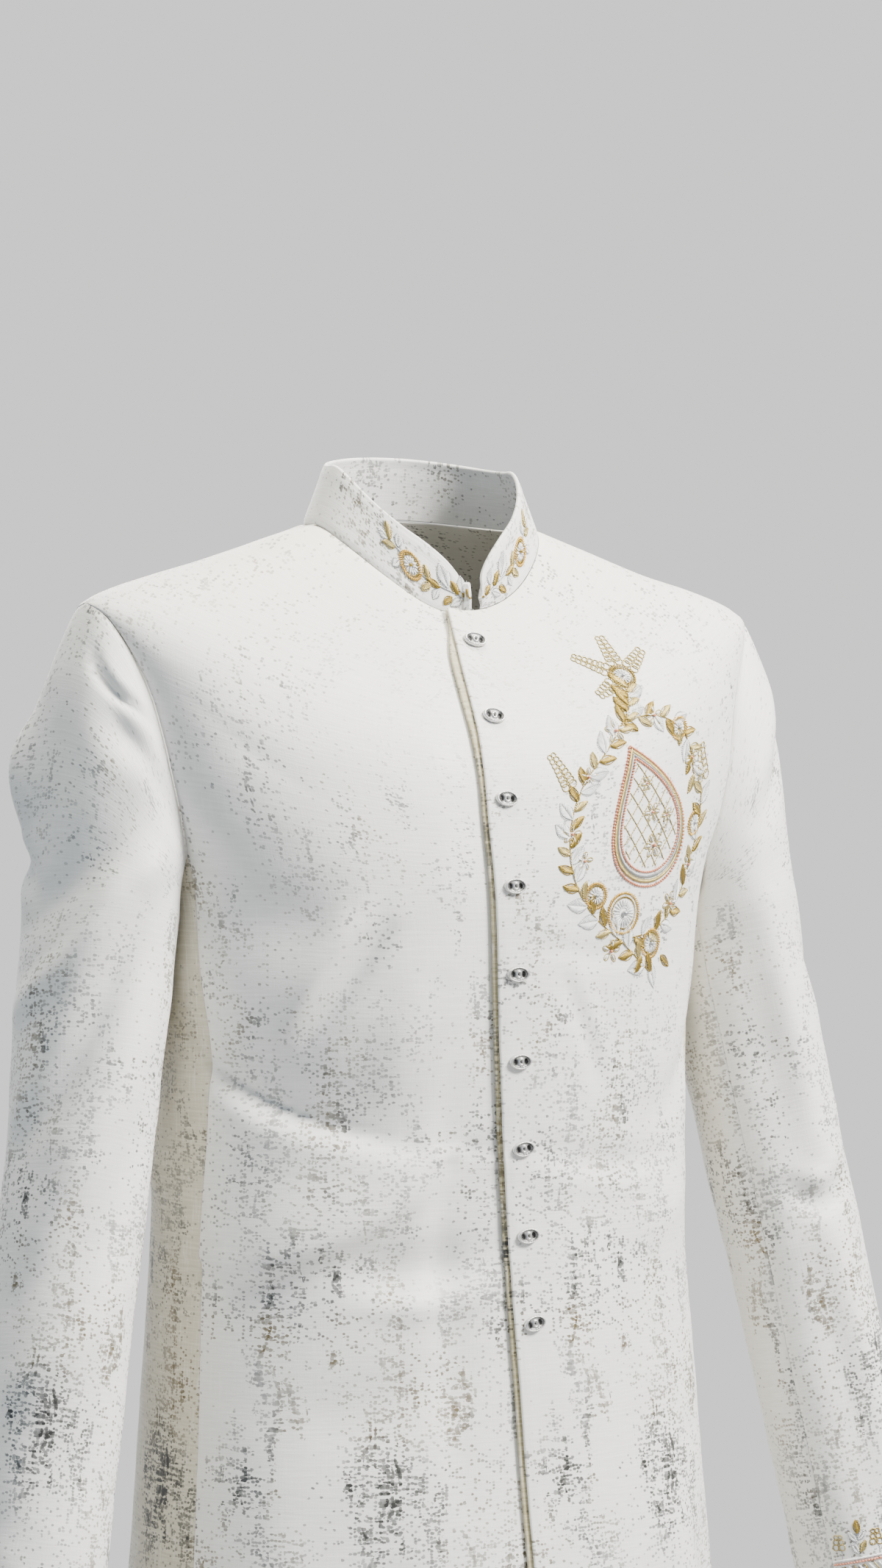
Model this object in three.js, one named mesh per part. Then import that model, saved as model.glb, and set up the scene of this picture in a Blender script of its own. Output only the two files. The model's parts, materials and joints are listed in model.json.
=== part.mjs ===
// Jodhpuri suit: a stand-collar closed-neck jacket over straight trousers, hollow, in the shape of wear.
// Millimetres, +Z up. The origin lies midway between the two neck points of the shoulder seams.
// +X is the wearer's left, the front looks towards -Y. "turn" is an angle round the body in degrees:
// 0 at centre front, 90 at the wearer's left side, 180 at centre back, negative on the wearer's right.
import * as THREE from "three";

const JACKET_WALL = 2.0; // shell cloth with its fused interlining
const FACING_WALL = 1.8;
const SLEEVE_WALL = 1.6;
const COLLAR_WALL = 2.6; // two cloths and a stiff interlining
const TROUSER_WALL = 1.4;
const SEAM_GAP = 0.3;

const BUTTON_COUNT = 9;
const BUTTON_PITCH = 54; // measured along the cloth
const FIRST_BUTTON_DROP = 23; // from the collar seam, along the cloth
const BUTTON_HALF_LENGTH = 7.6;
const BUTTON_HALF_HEIGHT = 4.8;
const OVERLAP = 12; // the left front reaches this far past the button line
const UNDERLAP = 26; // the right front reaches this far past it, underneath
const FACING_PEEK = 3.4; // how far the facing shows beside the left front's edge
const FRONT_LIFT = 2.5; // where the fronts overlap, the left one rises and the right one sinks by this
const LEFT_SETTLES = [15, 75]; // past the closing line, the left front comes down between these
const RIGHT_SINKS = [-48, -15]; // and the right one goes down between these
const PEEK_SHARE = 0.4; // the facing's least peek, and what the hem adds to it
const PEEK_CHEST_IN = [630, 735]; // stations between which the facing peeks out further, at the chest
const PEEK_CHEST_OUT = [775, 840];
const PEEK_HEM = [60, 300];
const PEEK_NECK_START = 800;
const PEEK_NECK_LOSS = 0.7;

const COLLAR_HEIGHT = 39;
const COLLAR_CORNER = 36; // length of the rounded front ends
const COLLAR_SIDE_LEAN = 0.4; // inward run for each unit of rise
const COLLAR_FRONT_LEAN = 0.1;
const COLLAR_BACK_LEAN = 0.22;
const COLLAR_RIGHT_END = 2.5; // x of the collar's two front ends
const COLLAR_LEFT_END = 10.5;
const COLLAR_RIGHT_START = 0.14; // share of the full height at each end, where the rounding starts
const COLLAR_LEFT_START = 0.34;
const COLLAR_COLUMNS = 34;
const COLLAR_ROWS = 4;

const VENT_TOP = 205; // station where the side vents open
const VENT_SPREAD = 3; // how far a vent has opened at the hem

// Rows of a table as objects, from its column names.
const table = (columns, rows) =>
  rows.map((row) => Object.fromEntries(columns.split(" ").map((key, i) => [key, row[i]])));

// Rings of the jacket body from the hem up. station runs up the side of the cloth; a ring's height differs at
// the front, side and back; middle is the y of its widest line; square is the exponent of its oval;
// closing is the x of the button line.
const TORSO_RINGS = table("name station frontZ sideZ backZ halfWidth front back middle square closing", [
  ["hem", 0, -750, -750, -748, 199, 140, 130, -3, 2.3, 26],
  ["skirt", 95, -655, -655, -655, 192, 133, 124, -1, 2.3, 23],
  ["hip", 190, -560, -560, -560, 185, 126, 116, 1, 2.3, 19],
  ["waist", 315, -435, -435, -435, 178, 121, 105, 3, 2.25, 12],
  ["ribs", 420, -330, -330, -330, 181, 125, 112, 3, 2.25, 5],
  ["underarm", 515, -240, -235, -235, 186, 128, 122, 3, 2.3, 0.5],
  ["armhole", 605, -188, -152, -155, 206, 122, 126, 2, 2.3, -2],
  ["cap", 672, -147, -82, -104, 224, 113, 119, 1, 2.2, -2],
  ["shoulder", 708, -126, -53, -70, 231, 102, 108, 0, 2.1, -2],
  ["yoke", 786, -86, -25, -24, 152, 81, 84, 0, 2.0, -2],
  ["neck", 862, -57, 0, 8, 79, 63, 61, 0, 2.0, -1],
]);
const HEM = TORSO_RINGS[0];
const NECK = TORSO_RINGS[TORSO_RINGS.length - 1];
const NECK_STATION = 862;
const SHOULDER_STATION = 708;
const RIBS_STATION = 420; // above it the side seams run to the armhole
const SHOULDER_BLEND = 44; // the rings either side of the shoulder melt into each other over this reach
const BLEND_BELOW = [560, 680]; // stations between which the blend comes in, below the shoulder
const BLEND_ABOVE = [750, 850]; // and those between which it goes out, above it
const SIDE_BLEND = 0.12; // its share at the body's sides, where the armhole is
const SIDE_TO_FRONT = [0.05, 0.55]; // cosines of the turn between which that share grows to the whole
const BLEND_WEIGHTS = [
  [-1, 0.1],
  [-0.5, 0.25],
  [0, 0.3],
  [0.5, 0.25],
  [1, 0.1],
];

// The armhole as an opening in the body rings. around: 0 at the shoulder point, 180 at the underarm.
const ARMHOLE = table("around station front back", [
  [0, 708, 90, 90],
  [30, 697, 77, 103],
  [60, 662, 70, 113],
  [90, 614, 67.5, 118],
  [120, 566, 68.5, 116],
  [150, 532, 74.5, 107],
  [180, 520, 90, 90],
]);
const UNDERARM_STATION = 520;
const UNDERARM_Z = -235;
const AROUND_STEP = 15;
const FRONT_SEAM_AROUND = 135; // where the front's side seam meets the armhole
const BACK_SEAM_AROUND = 120; // where the back's side seam meets it

// The two long seams of the body, as turns.
const BODY_SEAMS = table("station front back", [
  [0, 70, 118],
  [190, 71, 117],
  [315, 72, 116],
  [420, 69, 114],
  [515, 75, 110],
]);

// The arm inside a sleeve, wearer's left; the right one mirrors it. across is the half-width in x, deep in y.
const SLEEVE_RINGS = table("name down x y z across deep", [
  ["biceps", 0, 221, 0, -247, 45.5, 66],
  ["above elbow", 85, 235, -14, -330, 44.5, 57],
  ["elbow", 177, 250, -28, -420, 43, 52],
  ["forearm", 304, 272, -44, -545, 43, 49],
  ["cuff", 462, 298, -64, -700, 42, 47],
]);
const SLEEVE_LENGTH = 462; // from the biceps ring to the cuff
const AXIS_REACH = 5; // the arm's direction is read over this much either way
const CAP_DEPTH = 180; // from the shoulder point to the biceps ring
const CAP_START_PULL = 1.15; // how straight the cap leaves the armhole and meets the arm
const CAP_END_PULL = 1.1;
const CAP_UNDER = [0.5, -0.85]; // out and up: the way the cap leaves the armhole at the underarm
const CAP_OVER = [0.42, -0.8]; // and the way it leaves the shoulder
const CAP_FORWARD = 0.4;
const SLEEVE_FRONT_SEAM = 150; // angles round the arm: 0 outside, 90 front, 180 inside
const SLEEVE_BACK_SEAM = 285;
const SLEEVE_SEAM_INSET = 0.2; // degrees
const SLEEVE_BODY_CLEARANCE = 1.6;
const CAP_ROWS = 6;
const ARM_ROWS = 12;

// Largest soft folds of the body cloth: three points of the path, each a turn and a station, then half-width
// and depth, where a minus sinks the cloth. bend is the middle point.
const FOLD_COLUMNS = "name from bend to halfWidth depth";
const BODY_FOLDS = table(FOLD_COLUMNS, [
  ["right chest fullness", [-70, 545], [-64, 598], [-52, 650], 46, 4.5],
  ["left chest fullness", [70, 545], [64, 598], [52, 650], 46, 4],
  ["right armhole drag", [-68, 414], [-48, 388], [-16, 365], 20, -7],
  ["right waist pillow", [-62, 296], [-38, 308], [-14, 350], 26, 6.5],
  ["right chest drag", [-23, 498], [-31, 464], [-41, 432], 14, -3.5],
  ["right chest ridge", [-30, 508], [-40, 476], [-50, 436], 13, 3.5],
  ["right hip fold", [-32, 288], [-20, 290], [-9, 294], 14, -5],
  ["left armhole drag", [70, 446], [56, 400], [34, 374], 17, -4],
  ["left hip swell", [60, 330], [46, 318], [28, 312], 20, 3.5],
  ["back blade fold right", [-120, 545], [-128, 452], [-139, 360], 18, -4.5],
  ["back blade fold left", [121, 540], [130, 455], [141, 372], 18, -4.5],
  ["back waist fold", [-168, 336], [180, 322], [158, 334], 16, -3.5],
]);

// Largest folds of each sleeve: around is the angle round the arm, down the distance below the biceps ring,
// and a minus down lies in the cap.
const SLEEVE_FOLDS = {
  right: table(FOLD_COLUMNS, [
    ["rear bulge", [-36, -120], [-27, -86], [-22, -50], 26, 12],
    ["upper drag", [86, -132], [47, -26], [-8, 6], 15, -5],
    ["upper ridge", [106, -96], [64, 14], [-14, 60], 14, 5],
    ["middle drag", [90, 4], [56, 92], [12, 148], 15, -5.5],
    ["elbow drag", [112, 130], [84, 186], [30, 240], 16, -4.5],
    ["forearm drag", [100, 300], [76, 344], [40, 388], 18, -4],
    ["elbow back drag", [-56, 128], [-86, 168], [-118, 196], 18, -5],
  ]),
  left: table(FOLD_COLUMNS, [
    ["cap crease", [10, -136], [46, -98], [84, -84], 13, -3],
    ["rear bulge", [-70, -110], [-60, -76], [-50, -40], 26, 8],
    ["inner hollow", [124, 26], [116, 110], [112, 196], 20, -4.5],
    ["elbow fold", [120, 188], [92, 198], [66, 188], 14, -3.5],
    ["forearm ridge", [92, 214], [82, 300], [78, 400], 15, 3.5],
    ["forearm hollow", [108, 220], [104, 310], [102, 410], 18, -4],
    ["elbow back drag", [-56, 122], [-84, 164], [-114, 192], 18, -5],
  ]),
};

// Trousers: rings of the hips, then of one leg. The seat all but touches the jacket's back.
const HIP_RINGS = table("name z halfWidth front back middle square", [
  ["waist", -462, 150, 104, 84, 3, 2.15],
  ["high hip", -540, 164, 112, 102, 3, 2.2],
  ["seat", -620, 174, 115, 116, 2, 2.2],
  ["thighs", -720, 178, 113, 112, 0, 2.2],
  ["under seat", -800, 178, 110, 108, 0, 2.2],
]);
const SEAT_EASE = 0.7;
const LEG_RINGS = table("z x y across deep", [
  [-640, 90, 0, 86, 106],
  [-730, 90, -1, 86.5, 104],
  [-830, 92, -3, 82, 95],
  [-1010, 97, 1, 68, 79],
  [-1250, 104, 6, 60, 66],
  [-1492, 110, 10, 55, 59],
]);
const CROTCH_START = -650; // the hip shape gives way to the legs between these heights
const CROTCH_END = -745;
const TROUSER_TOP = -462;
const TROUSER_HEM = -1492;
const WAISTBAND_TOP = -423;

const IVORY = { color: 0xe6e2d6, roughness: 0.62, metalness: 0.0 };
const SHADED_IVORY = { color: 0xd6cfb8, roughness: 0.7, metalness: 0.0 };
const PLAIN_IVORY = { color: 0xe2ddcc, roughness: 0.75, metalness: 0.0 };
const OLD_SILVER = { color: 0x8d8a85, roughness: 0.32, metalness: 0.9 };

const suit = new THREE.Group();

const radians = THREE.MathUtils.degToRad;
const mix = THREE.MathUtils.lerp;
const ease = (x, low, high) => THREE.MathUtils.smoothstep(x, low, high);
const UP = new THREE.Vector3(0, 0, 1);

// A smooth curve through one column of a table, read along another.
function curveOf(rows, along, key) {
  const at = rows.map((row) => row[along]);
  const value = rows.map((row) => row[key]);
  const last = rows.length - 1;
  const slope = (i) => {
    const before = Math.max(i - 1, 0);
    const after = Math.min(i + 1, last);
    return (value[after] - value[before]) / (at[after] - at[before]);
  };
  const rising = at[last] > at[0];
  return (x) => {
    let i = 0;
    while (i < last - 1 && (rising ? x > at[i + 1] : x < at[i + 1])) i += 1;
    const span = at[i + 1] - at[i];
    const t = THREE.MathUtils.clamp((x - at[i]) / span, 0, 1);
    const t2 = t * t;
    const t3 = t2 * t;
    return (
      (2 * t3 - 3 * t2 + 1) * value[i] +
      (t3 - 2 * t2 + t) * span * slope(i) +
      (3 * t2 - 2 * t3) * value[i + 1] +
      (t3 - t2) * span * slope(i + 1)
    );
  };
}

function curvesOf(rows, along, keys) {
  const curves = keys.map((key) => [key, curveOf(rows, along, key)]);
  return (x) => Object.fromEntries(curves.map(([key, curve]) => [key, curve(x)]));
}

const torsoRing = curvesOf(TORSO_RINGS, "station", [
  "frontZ", "sideZ", "backZ", "halfWidth", "front", "back", "middle", "square", "closing",
]);
const armholeAt = curvesOf(ARMHOLE, "around", ["station", "front", "back"]);
const bodySeamAt = curvesOf(BODY_SEAMS, "station", ["front", "back"]);
const sleeveRing = curvesOf(SLEEVE_RINGS, "down", ["x", "y", "z", "across", "deep"]);
const seat = HIP_RINGS.find((ring) => ring.name === "seat");
const overSeat = torsoRing(seat.z - HEM.sideZ);
seat.back = overSeat.middle + overSeat.back - JACKET_WALL - SEAT_EASE - seat.middle;
const hipRing = curvesOf(HIP_RINGS, "z", ["halfWidth", "front", "back", "middle", "square"]);
const legRing = curvesOf(LEG_RINGS, "z", ["x", "y", "across", "deep"]);

// A point of an oval whose front and back differ, at a turn.
function ovalPoint(ring, turn) {
  const s = Math.sin(radians(turn));
  const c = Math.cos(radians(turn));
  const power = 2 / ring.square;
  const depth = c > 0 ? ring.front : ring.back;
  return new THREE.Vector2(
    ring.halfWidth * Math.sign(s) * Math.abs(s) ** power,
    ring.middle - depth * Math.sign(c) * Math.abs(c) ** power,
  );
}

function ringPoint(turn, station) {
  const ring = torsoRing(station);
  const flat = ovalPoint(ring, turn);
  const c = Math.cos(radians(turn));
  const endZ = c > 0 ? ring.frontZ : ring.backZ;
  return new THREE.Vector3(flat.x, flat.y, mix(ring.sideZ, endZ, c * c));
}

// A point of the body. Near the shoulder it is averaged along the station, so no edge crosses the chest.
function torsoPoint(turn, station) {
  const level = ease(station, ...BLEND_BELOW) * (1 - ease(station, ...BLEND_ABOVE));
  const towardsFront = ease(Math.abs(Math.cos(radians(turn))), ...SIDE_TO_FRONT);
  const reach = SHOULDER_BLEND * level * mix(SIDE_BLEND, 1, towardsFront);
  const point = new THREE.Vector3();
  for (const [share, weight] of BLEND_WEIGHTS)
    point.addScaledVector(ringPoint(turn, station + share * reach), weight);
  return point;
}

function normalOf(surface, a, b, stepA, stepB) {
  const alongA = surface(a + stepA, b).sub(surface(a - stepA, b));
  const alongB = surface(a, b + stepB).sub(surface(a, b - stepB));
  return alongA.cross(alongB).normalize();
}

const torsoNormal = (turn, station) =>
  normalOf(torsoPoint, turn, Math.min(station, NECK_STATION - 3), 1, 3);

// The turn at which a ring reaches a given x on the front.
function turnAtX(x, station) {
  const ring = torsoRing(station);
  const share = Math.min(Math.abs(x) / ring.halfWidth, 1);
  return THREE.MathUtils.radToDeg(Math.asin(share ** (ring.square / 2))) * Math.sign(x);
}

const FOLD_STEPS = 10;

// Folds as a height over a surface, from the distance to each fold's path.
function foldField(folds, surface) {
  const paths = folds.map((fold) => {
    const [a, b, c] = [fold.from, fold.bend, fold.to].map(([p, q]) => {
      const turn = p < 0 && fold.bend[0] > 150 ? p + 360 : p;
      return new THREE.Vector2(turn, q);
    });
    const route = new THREE.SplineCurve([a, b, c]);
    const points = route.getPoints(FOLD_STEPS).map((p) => surface(p.x, p.y));
    return { ...fold, points };
  });
  return (point) => {
    let height = 0;
    for (const { points, halfWidth, depth } of paths) {
      let nearest = Infinity;
      let at = 0;
      points.forEach((p, i) => {
        const d = p.distanceTo(point);
        if (d < nearest) {
          nearest = d;
          at = i / FOLD_STEPS;
        }
      });
      const fade = Math.sin(Math.PI * mix(0.12, 0.88, at));
      height += depth * fade * Math.exp(-((nearest / halfWidth) ** 2));
    }
    return height;
  };
}

const bodyFoldHeight = foldField(BODY_FOLDS, torsoPoint);

// A closed wall between a grid of outer points and the same grid set back along its normals.
function wall(grid, thickness) {
  const rows = grid.length;
  const columns = grid[0].length;
  const positions = [];
  for (const row of grid) for (const { point } of row) positions.push(...point);
  for (const row of grid)
    for (const { point, normal } of row)
      positions.push(...point.clone().addScaledVector(normal, -thickness));
  const inner = rows * columns;
  const id = (r, c) => r * columns + c;
  const index = [];
  const quad = (a, b, c, d) => index.push(a, b, c, a, c, d);
  for (let r = 0; r < rows - 1; r += 1)
    for (let c = 0; c < columns - 1; c += 1) {
      quad(id(r, c), id(r, c + 1), id(r + 1, c + 1), id(r + 1, c));
      quad(inner + id(r, c), inner + id(r + 1, c), inner + id(r + 1, c + 1), inner + id(r, c + 1));
    }
  const rim = [];
  for (let c = 0; c < columns - 1; c += 1) rim.push(id(0, c));
  for (let r = 0; r < rows - 1; r += 1) rim.push(id(r, columns - 1));
  for (let c = columns - 1; c > 0; c -= 1) rim.push(id(rows - 1, c));
  for (let r = rows - 1; r > 0; r -= 1) rim.push(id(r, 0));
  rim.forEach((a, i) => {
    const b = rim[(i + 1) % rim.length];
    quad(b, a, inner + a, inner + b);
  });
  const geometry = new THREE.BufferGeometry();
  geometry.setAttribute("position", new THREE.Float32BufferAttribute(positions, 3));
  geometry.setIndex(index);
  geometry.computeVertexNormals();
  return geometry;
}

function add(name, geometry, look) {
  const mesh = new THREE.Mesh(geometry, new THREE.MeshStandardMaterial(look));
  mesh.name = name;
  suit.add(mesh);
  return mesh;
}

const spread = (count, low, high) =>
  Array.from({ length: count + 1 }, (_, i) => mix(low, high, i / count));

// How far the facing shows past the left front's edge.
function peekAt(station) {
  const atChest = ease(station, ...PEEK_CHEST_IN) * (1 - ease(station, ...PEEK_CHEST_OUT));
  const atHem = 1 - ease(station, ...PEEK_HEM);
  const atNeck = ease(station, PEEK_NECK_START, NECK_STATION);
  return FACING_PEEK * (PEEK_SHARE + atChest + PEEK_SHARE * atHem) * (1 - PEEK_NECK_LOSS * atNeck);
}

// How far the fronts move out or in so that the left one lies over the right one.
function frontShift(side, point, station) {
  const past = point.x - torsoRing(station).closing;
  return side > 0
    ? FRONT_LIFT * (1 - ease(past, ...LEFT_SETTLES))
    : -FRONT_LIFT * ease(past, ...RIGHT_SINKS);
}

// One spot of the body cloth: side is 1 on the wearer's left and -1 on the right.
function bodySpot(side, turn, station, shift = true) {
  const point = torsoPoint(turn, station);
  const normal = torsoNormal(turn, station);
  const fadeAtNeck = 1 - ease(station, 640, 700);
  let out = bodyFoldHeight(point) * fadeAtNeck;
  if (shift) out += frontShift(side, point, station);
  return { point: point.addScaledVector(normal, out), normal };
}

const BODY_ROWS = 20; // from the hem to the armhole's seam points
const SHOULDER_ROWS = 3;
const FRONT_COLUMNS = 14;
const BACK_COLUMNS = 8;
const FACING_COLUMNS = 3;

// Angles from one to the other in steps of the armhole's grid.
const arounds = (from, to) => spread((to - from) / AROUND_STEP, from, to);

// Stations and turns of a panel's armhole edge, from its seam up to the shoulder point.
const armholeEdge = (key, fromAround) =>
  arounds(0, fromAround)
    .reverse()
    .map(armholeAt)
    .map((spot) => ({ turn: spot[key], station: spot.station }));

const seamInset = (turn, station) => {
  const ring = torsoRing(station);
  const angle = radians(turn);
  const reach = Math.hypot(ring.halfWidth * Math.cos(angle), ring.front * Math.sin(angle));
  return THREE.MathUtils.radToDeg(SEAM_GAP / 2 / reach);
};

// The outer edge of a front or back panel, from the hem to the neck: side seam, armhole, shoulder seam.
function outerEdge(key, seamAround) {
  const into = key === "front" ? -1 : 1;
  const arm = armholeEdge(key, seamAround);
  const top = arm[0].station;
  const seam = spread(BODY_ROWS, 0, top).map((station) => {
    const turn = mix(bodySeamAt(station)[key], arm[0].turn, ease(station, RIBS_STATION, top));
    const vent = key === "back" ? ventOpening(station) : 0;
    return { turn: turn + into * (seamInset(turn, station) + vent), station };
  });
  const shoulder = spread(SHOULDER_ROWS, SHOULDER_STATION, NECK_STATION)
    .slice(1)
    .map((station) => ({ turn: 90 + into * seamInset(90, station), station }));
  arm[arm.length - 1].turn += into * seamInset(90, SHOULDER_STATION);
  return [...seam, ...arm.slice(1), ...shoulder];
}

function ventOpening(station) {
  const share = Math.max(0, (VENT_TOP - station) / VENT_TOP);
  return THREE.MathUtils.radToDeg((VENT_SPREAD * share) / HEM.halfWidth);
}

function centreStationOf(edge, row) {
  const low = BODY_ROWS;
  if (row <= low) return edge[row].station;
  return mix(edge[low].station, NECK_STATION, (row - low) / (edge.length - 1 - low));
}

// Rows run from the centre line to the outer edge, and their centre ends are spread so all reach the neck.
function panelGrid(edge, centreTurn, columns, spotAt) {
  return edge.map((end, r) => {
    const centreStation = centreStationOf(edge, r);
    const start = centreTurn(centreStation);
    return spread(columns, 0, 1).map((share) => {
      const station = mix(centreStation, end.station, share * share * (3 - 2 * share));
      const fromCentre = mix(start, centreTurn(station), share);
      return spotAt(mix(fromCentre, end.turn, share), station);
    });
  });
}

const mirrored = (grid) => grid.map((row) => [...row].reverse());

const frontEdge = outerEdge("front", FRONT_SEAM_AROUND);

function frontGrid(side) {
  const reach = side > 0 ? -OVERLAP : UNDERLAP;
  const centreTurn = (station) => side * turnAtX(torsoRing(station).closing + reach, station);
  return panelGrid(frontEdge, centreTurn, FRONT_COLUMNS, (turn, station) =>
    bodySpot(side, side * turn, station),
  );
}

function makeFront(side) {
  const grid = frontGrid(side);
  return wall(side > 0 ? grid : mirrored(grid), JACKET_WALL);
}

function makeBack(side) {
  const edge = outerEdge("back", BACK_SEAM_AROUND);
  const centreTurn = (station) => 180 - seamInset(0, station);
  const grid = panelGrid(edge, centreTurn, BACK_COLUMNS, (turn, station) =>
    bodySpot(side, side * turn, station, false),
  );
  return wall(side > 0 ? mirrored(grid) : grid, JACKET_WALL);
}

// The side panel keeps to the two side seams up to the armhole, and its top follows the underarm.
function makeSide(side) {
  const top = arounds(FRONT_SEAM_AROUND, 360 - BACK_SEAM_AROUND).map((around) => {
    const spot = armholeAt(around > 180 ? 360 - around : around);
    return { turn: around > 180 ? spot.back : spot.front, station: spot.station };
  });
  const first = top[0];
  const last = top[top.length - 1];
  const grid = spread(BODY_ROWS, 0, 1).map((rise) =>
    top.map((peak, i) => {
      const share = i / (top.length - 1);
      const level = mix(first.station, last.station, share);
      const station = rise * mix(level, peak.station, ease(rise, 0.55, 1));
      const seams = bodySeamAt(station);
      const inset = seamInset(90, station);
      const low = mix(seams.front, first.turn, ease(station, RIBS_STATION, first.station)) + inset;
      const high = mix(seams.back, last.turn, ease(station, RIBS_STATION, last.station)) - inset;
      const swing = peak.turn - mix(first.turn, last.turn, share);
      const turn = mix(low, high, share) + swing * ease(rise, 0.7, 1);
      return bodySpot(side, side * turn, station, false);
    }),
  );
  return wall(side > 0 ? grid : mirrored(grid), JACKET_WALL);
}

// The strip under the left front's edge, which shows as a narrow second edge. It uses the front's points.
function makeFacing() {
  const under = JACKET_WALL + SEAM_GAP;
  const grid = frontGrid(1).map((row, r) => {
    const station = frontEdge[r].station;
    const level = THREE.MathUtils.clamp(centreStationOf(frontEdge, r), 0, NECK_STATION);
    const past = -OVERLAP - peekAt(level);
    const edge = bodySpot(1, turnAtX(torsoRing(level).closing + past, level), level);
    return [edge, ...row.slice(0, FACING_COLUMNS)].map(({ point, normal }) => ({
      point: point.clone().addScaledVector(normal, -under),
      normal,
    }));
  });
  return wall(grid, FACING_WALL);
}

// The stand collar: one band from its left front end round the back to its right front end.
function makeCollar() {
  const leftEnd = turnAtX(COLLAR_LEFT_END, NECK_STATION);
  const rightEnd = turnAtX(COLLAR_RIGHT_END, NECK_STATION);
  const turns = spread(COLLAR_COLUMNS, leftEnd, rightEnd + 360);
  const base = turns.map((turn) => {
    const place = turn > 180 ? turn - 360 : turn;
    return bodySpot(Math.sign(place), place, NECK_STATION, Math.abs(place) < 90).point;
  });
  const travelled = [0];
  for (let i = 1; i <= COLLAR_COLUMNS; i += 1)
    travelled.push(travelled[i - 1] + base[i].distanceTo(base[i - 1]));
  const length = travelled[COLLAR_COLUMNS];
  const grid = spread(COLLAR_ROWS, 0, 1).map((rise) =>
    base.map((foot, i) => {
      const onLeft = travelled[i] < length / 2;
      const fromEnd = onLeft ? travelled[i] : length - travelled[i];
      const start = onLeft ? COLLAR_LEFT_START : COLLAR_RIGHT_START;
      const corner = Math.min(fromEnd / COLLAR_CORNER, 1);
      const height = COLLAR_HEIGHT * mix(start, 1, Math.sqrt(1 - (1 - corner) ** 2));
      const outward = new THREE.Vector3(foot.x / NECK.halfWidth ** 2, foot.y / NECK.front ** 2, 0);
      outward.normalize();
      const endLean = foot.y < 0 ? COLLAR_FRONT_LEAN : COLLAR_BACK_LEAN;
      const lean = mix(endLean, COLLAR_SIDE_LEAN, Math.sin(radians(turns[i])) ** 2);
      const rising = UP.clone().addScaledVector(outward, -lean).normalize();
      const normal = outward.clone().addScaledVector(UP, lean).normalize();
      const point = foot.clone().addScaledVector(rising, 1.5 * SEAM_GAP + height * rise);
      return { point, normal };
    }),
  );
  return wall(grid, COLLAR_WALL);
}

// Sleeves. A ring of the arm is an oval square to the arm's line.
function armPoint(around, down) {
  const ring = sleeveRing(down);
  const middle = THREE.MathUtils.clamp(down, AXIS_REACH, SLEEVE_LENGTH - AXIS_REACH);
  const ahead = sleeveRing(middle + AXIS_REACH);
  const behind = sleeveRing(middle - AXIS_REACH);
  const axis = new THREE.Vector3(ahead.x - behind.x, ahead.y - behind.y, ahead.z - behind.z).normalize();
  const out = new THREE.Vector3(1, 0, 0).addScaledVector(axis, -axis.x).normalize();
  const front = axis.clone().cross(out).normalize();
  const centre = new THREE.Vector3(ring.x, ring.y, ring.z);
  return {
    point: centre
      .addScaledVector(out, ring.across * Math.cos(radians(around)))
      .addScaledVector(front, ring.deep * Math.sin(radians(around))),
    axis,
  };
}

// A point of one armhole's edge with the body's folds, in the left arm's own space.
function armholePoint(side, around) {
  const onBack = around > 180 || around < 0;
  const folded = around < 0 ? -around : around > 180 ? 360 - around : around;
  const { station, front, back } = armholeAt(folded);
  const { point } = bodySpot(side, side * (onBack ? back : front), station, false);
  point.x *= side;
  return point;
}

// The direction in which the sleeve leaves the armhole.
function capDirection(around) {
  const c = Math.cos(radians(around));
  const open = 1 - ((1 - c) / 2) ** 2;
  return new THREE.Vector3(
    mix(CAP_UNDER[0], CAP_OVER[0], open),
    -CAP_FORWARD * Math.sin(radians(around)),
    mix(CAP_UNDER[1], CAP_OVER[1], open),
  ).normalize();
}

// A point of the sleeve before its folds. down is negative in the cap, which ends at the armhole.
function sleeveBase(side, around, down) {
  if (down >= 0) return armPoint(around, down).point;
  const t = 1 + down / CAP_DEPTH;
  const start = armholePoint(side, around);
  const { point: end, axis } = armPoint(around, 0);
  const chord = start.distanceTo(end);
  const t2 = t * t;
  const t3 = t2 * t;
  return start
    .multiplyScalar(2 * t3 - 3 * t2 + 1)
    .addScaledVector(capDirection(around), (t3 - 2 * t2 + t) * chord * CAP_START_PULL)
    .addScaledVector(end, 3 * t2 - 2 * t3)
    .addScaledVector(axis, (t3 - t2) * chord * CAP_END_PULL);
}

// Keeps the sleeve's inner side clear of the body beside it.
function clearOfBody(point) {
  const station = THREE.MathUtils.clamp(point.z - HEM.sideZ, 0, UNDERARM_STATION);
  const ring = torsoRing(station);
  const depth = point.y < ring.middle ? ring.front : ring.back;
  const share = Math.min(Math.abs(point.y - ring.middle) / depth, 1);
  const side = ring.halfWidth * (1 - share ** ring.square) ** (1 / ring.square);
  const blend = 1 - ease(point.z, UNDERARM_Z - 5, UNDERARM_Z + 20);
  const wanted = side + SLEEVE_BODY_CLEARANCE;
  if (point.x < wanted) point.x = mix(point.x, wanted, blend);
  return point;
}

const SLEEVE_SHAPES = {
  right: (around, down) => sleeveBase(-1, around, down),
  left: (around, down) => sleeveBase(1, around, down),
};
const sleeveFoldHeight = {
  right: foldField(SLEEVE_FOLDS.right, SLEEVE_SHAPES.right),
  left: foldField(SLEEVE_FOLDS.left, SLEEVE_SHAPES.left),
};

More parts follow.
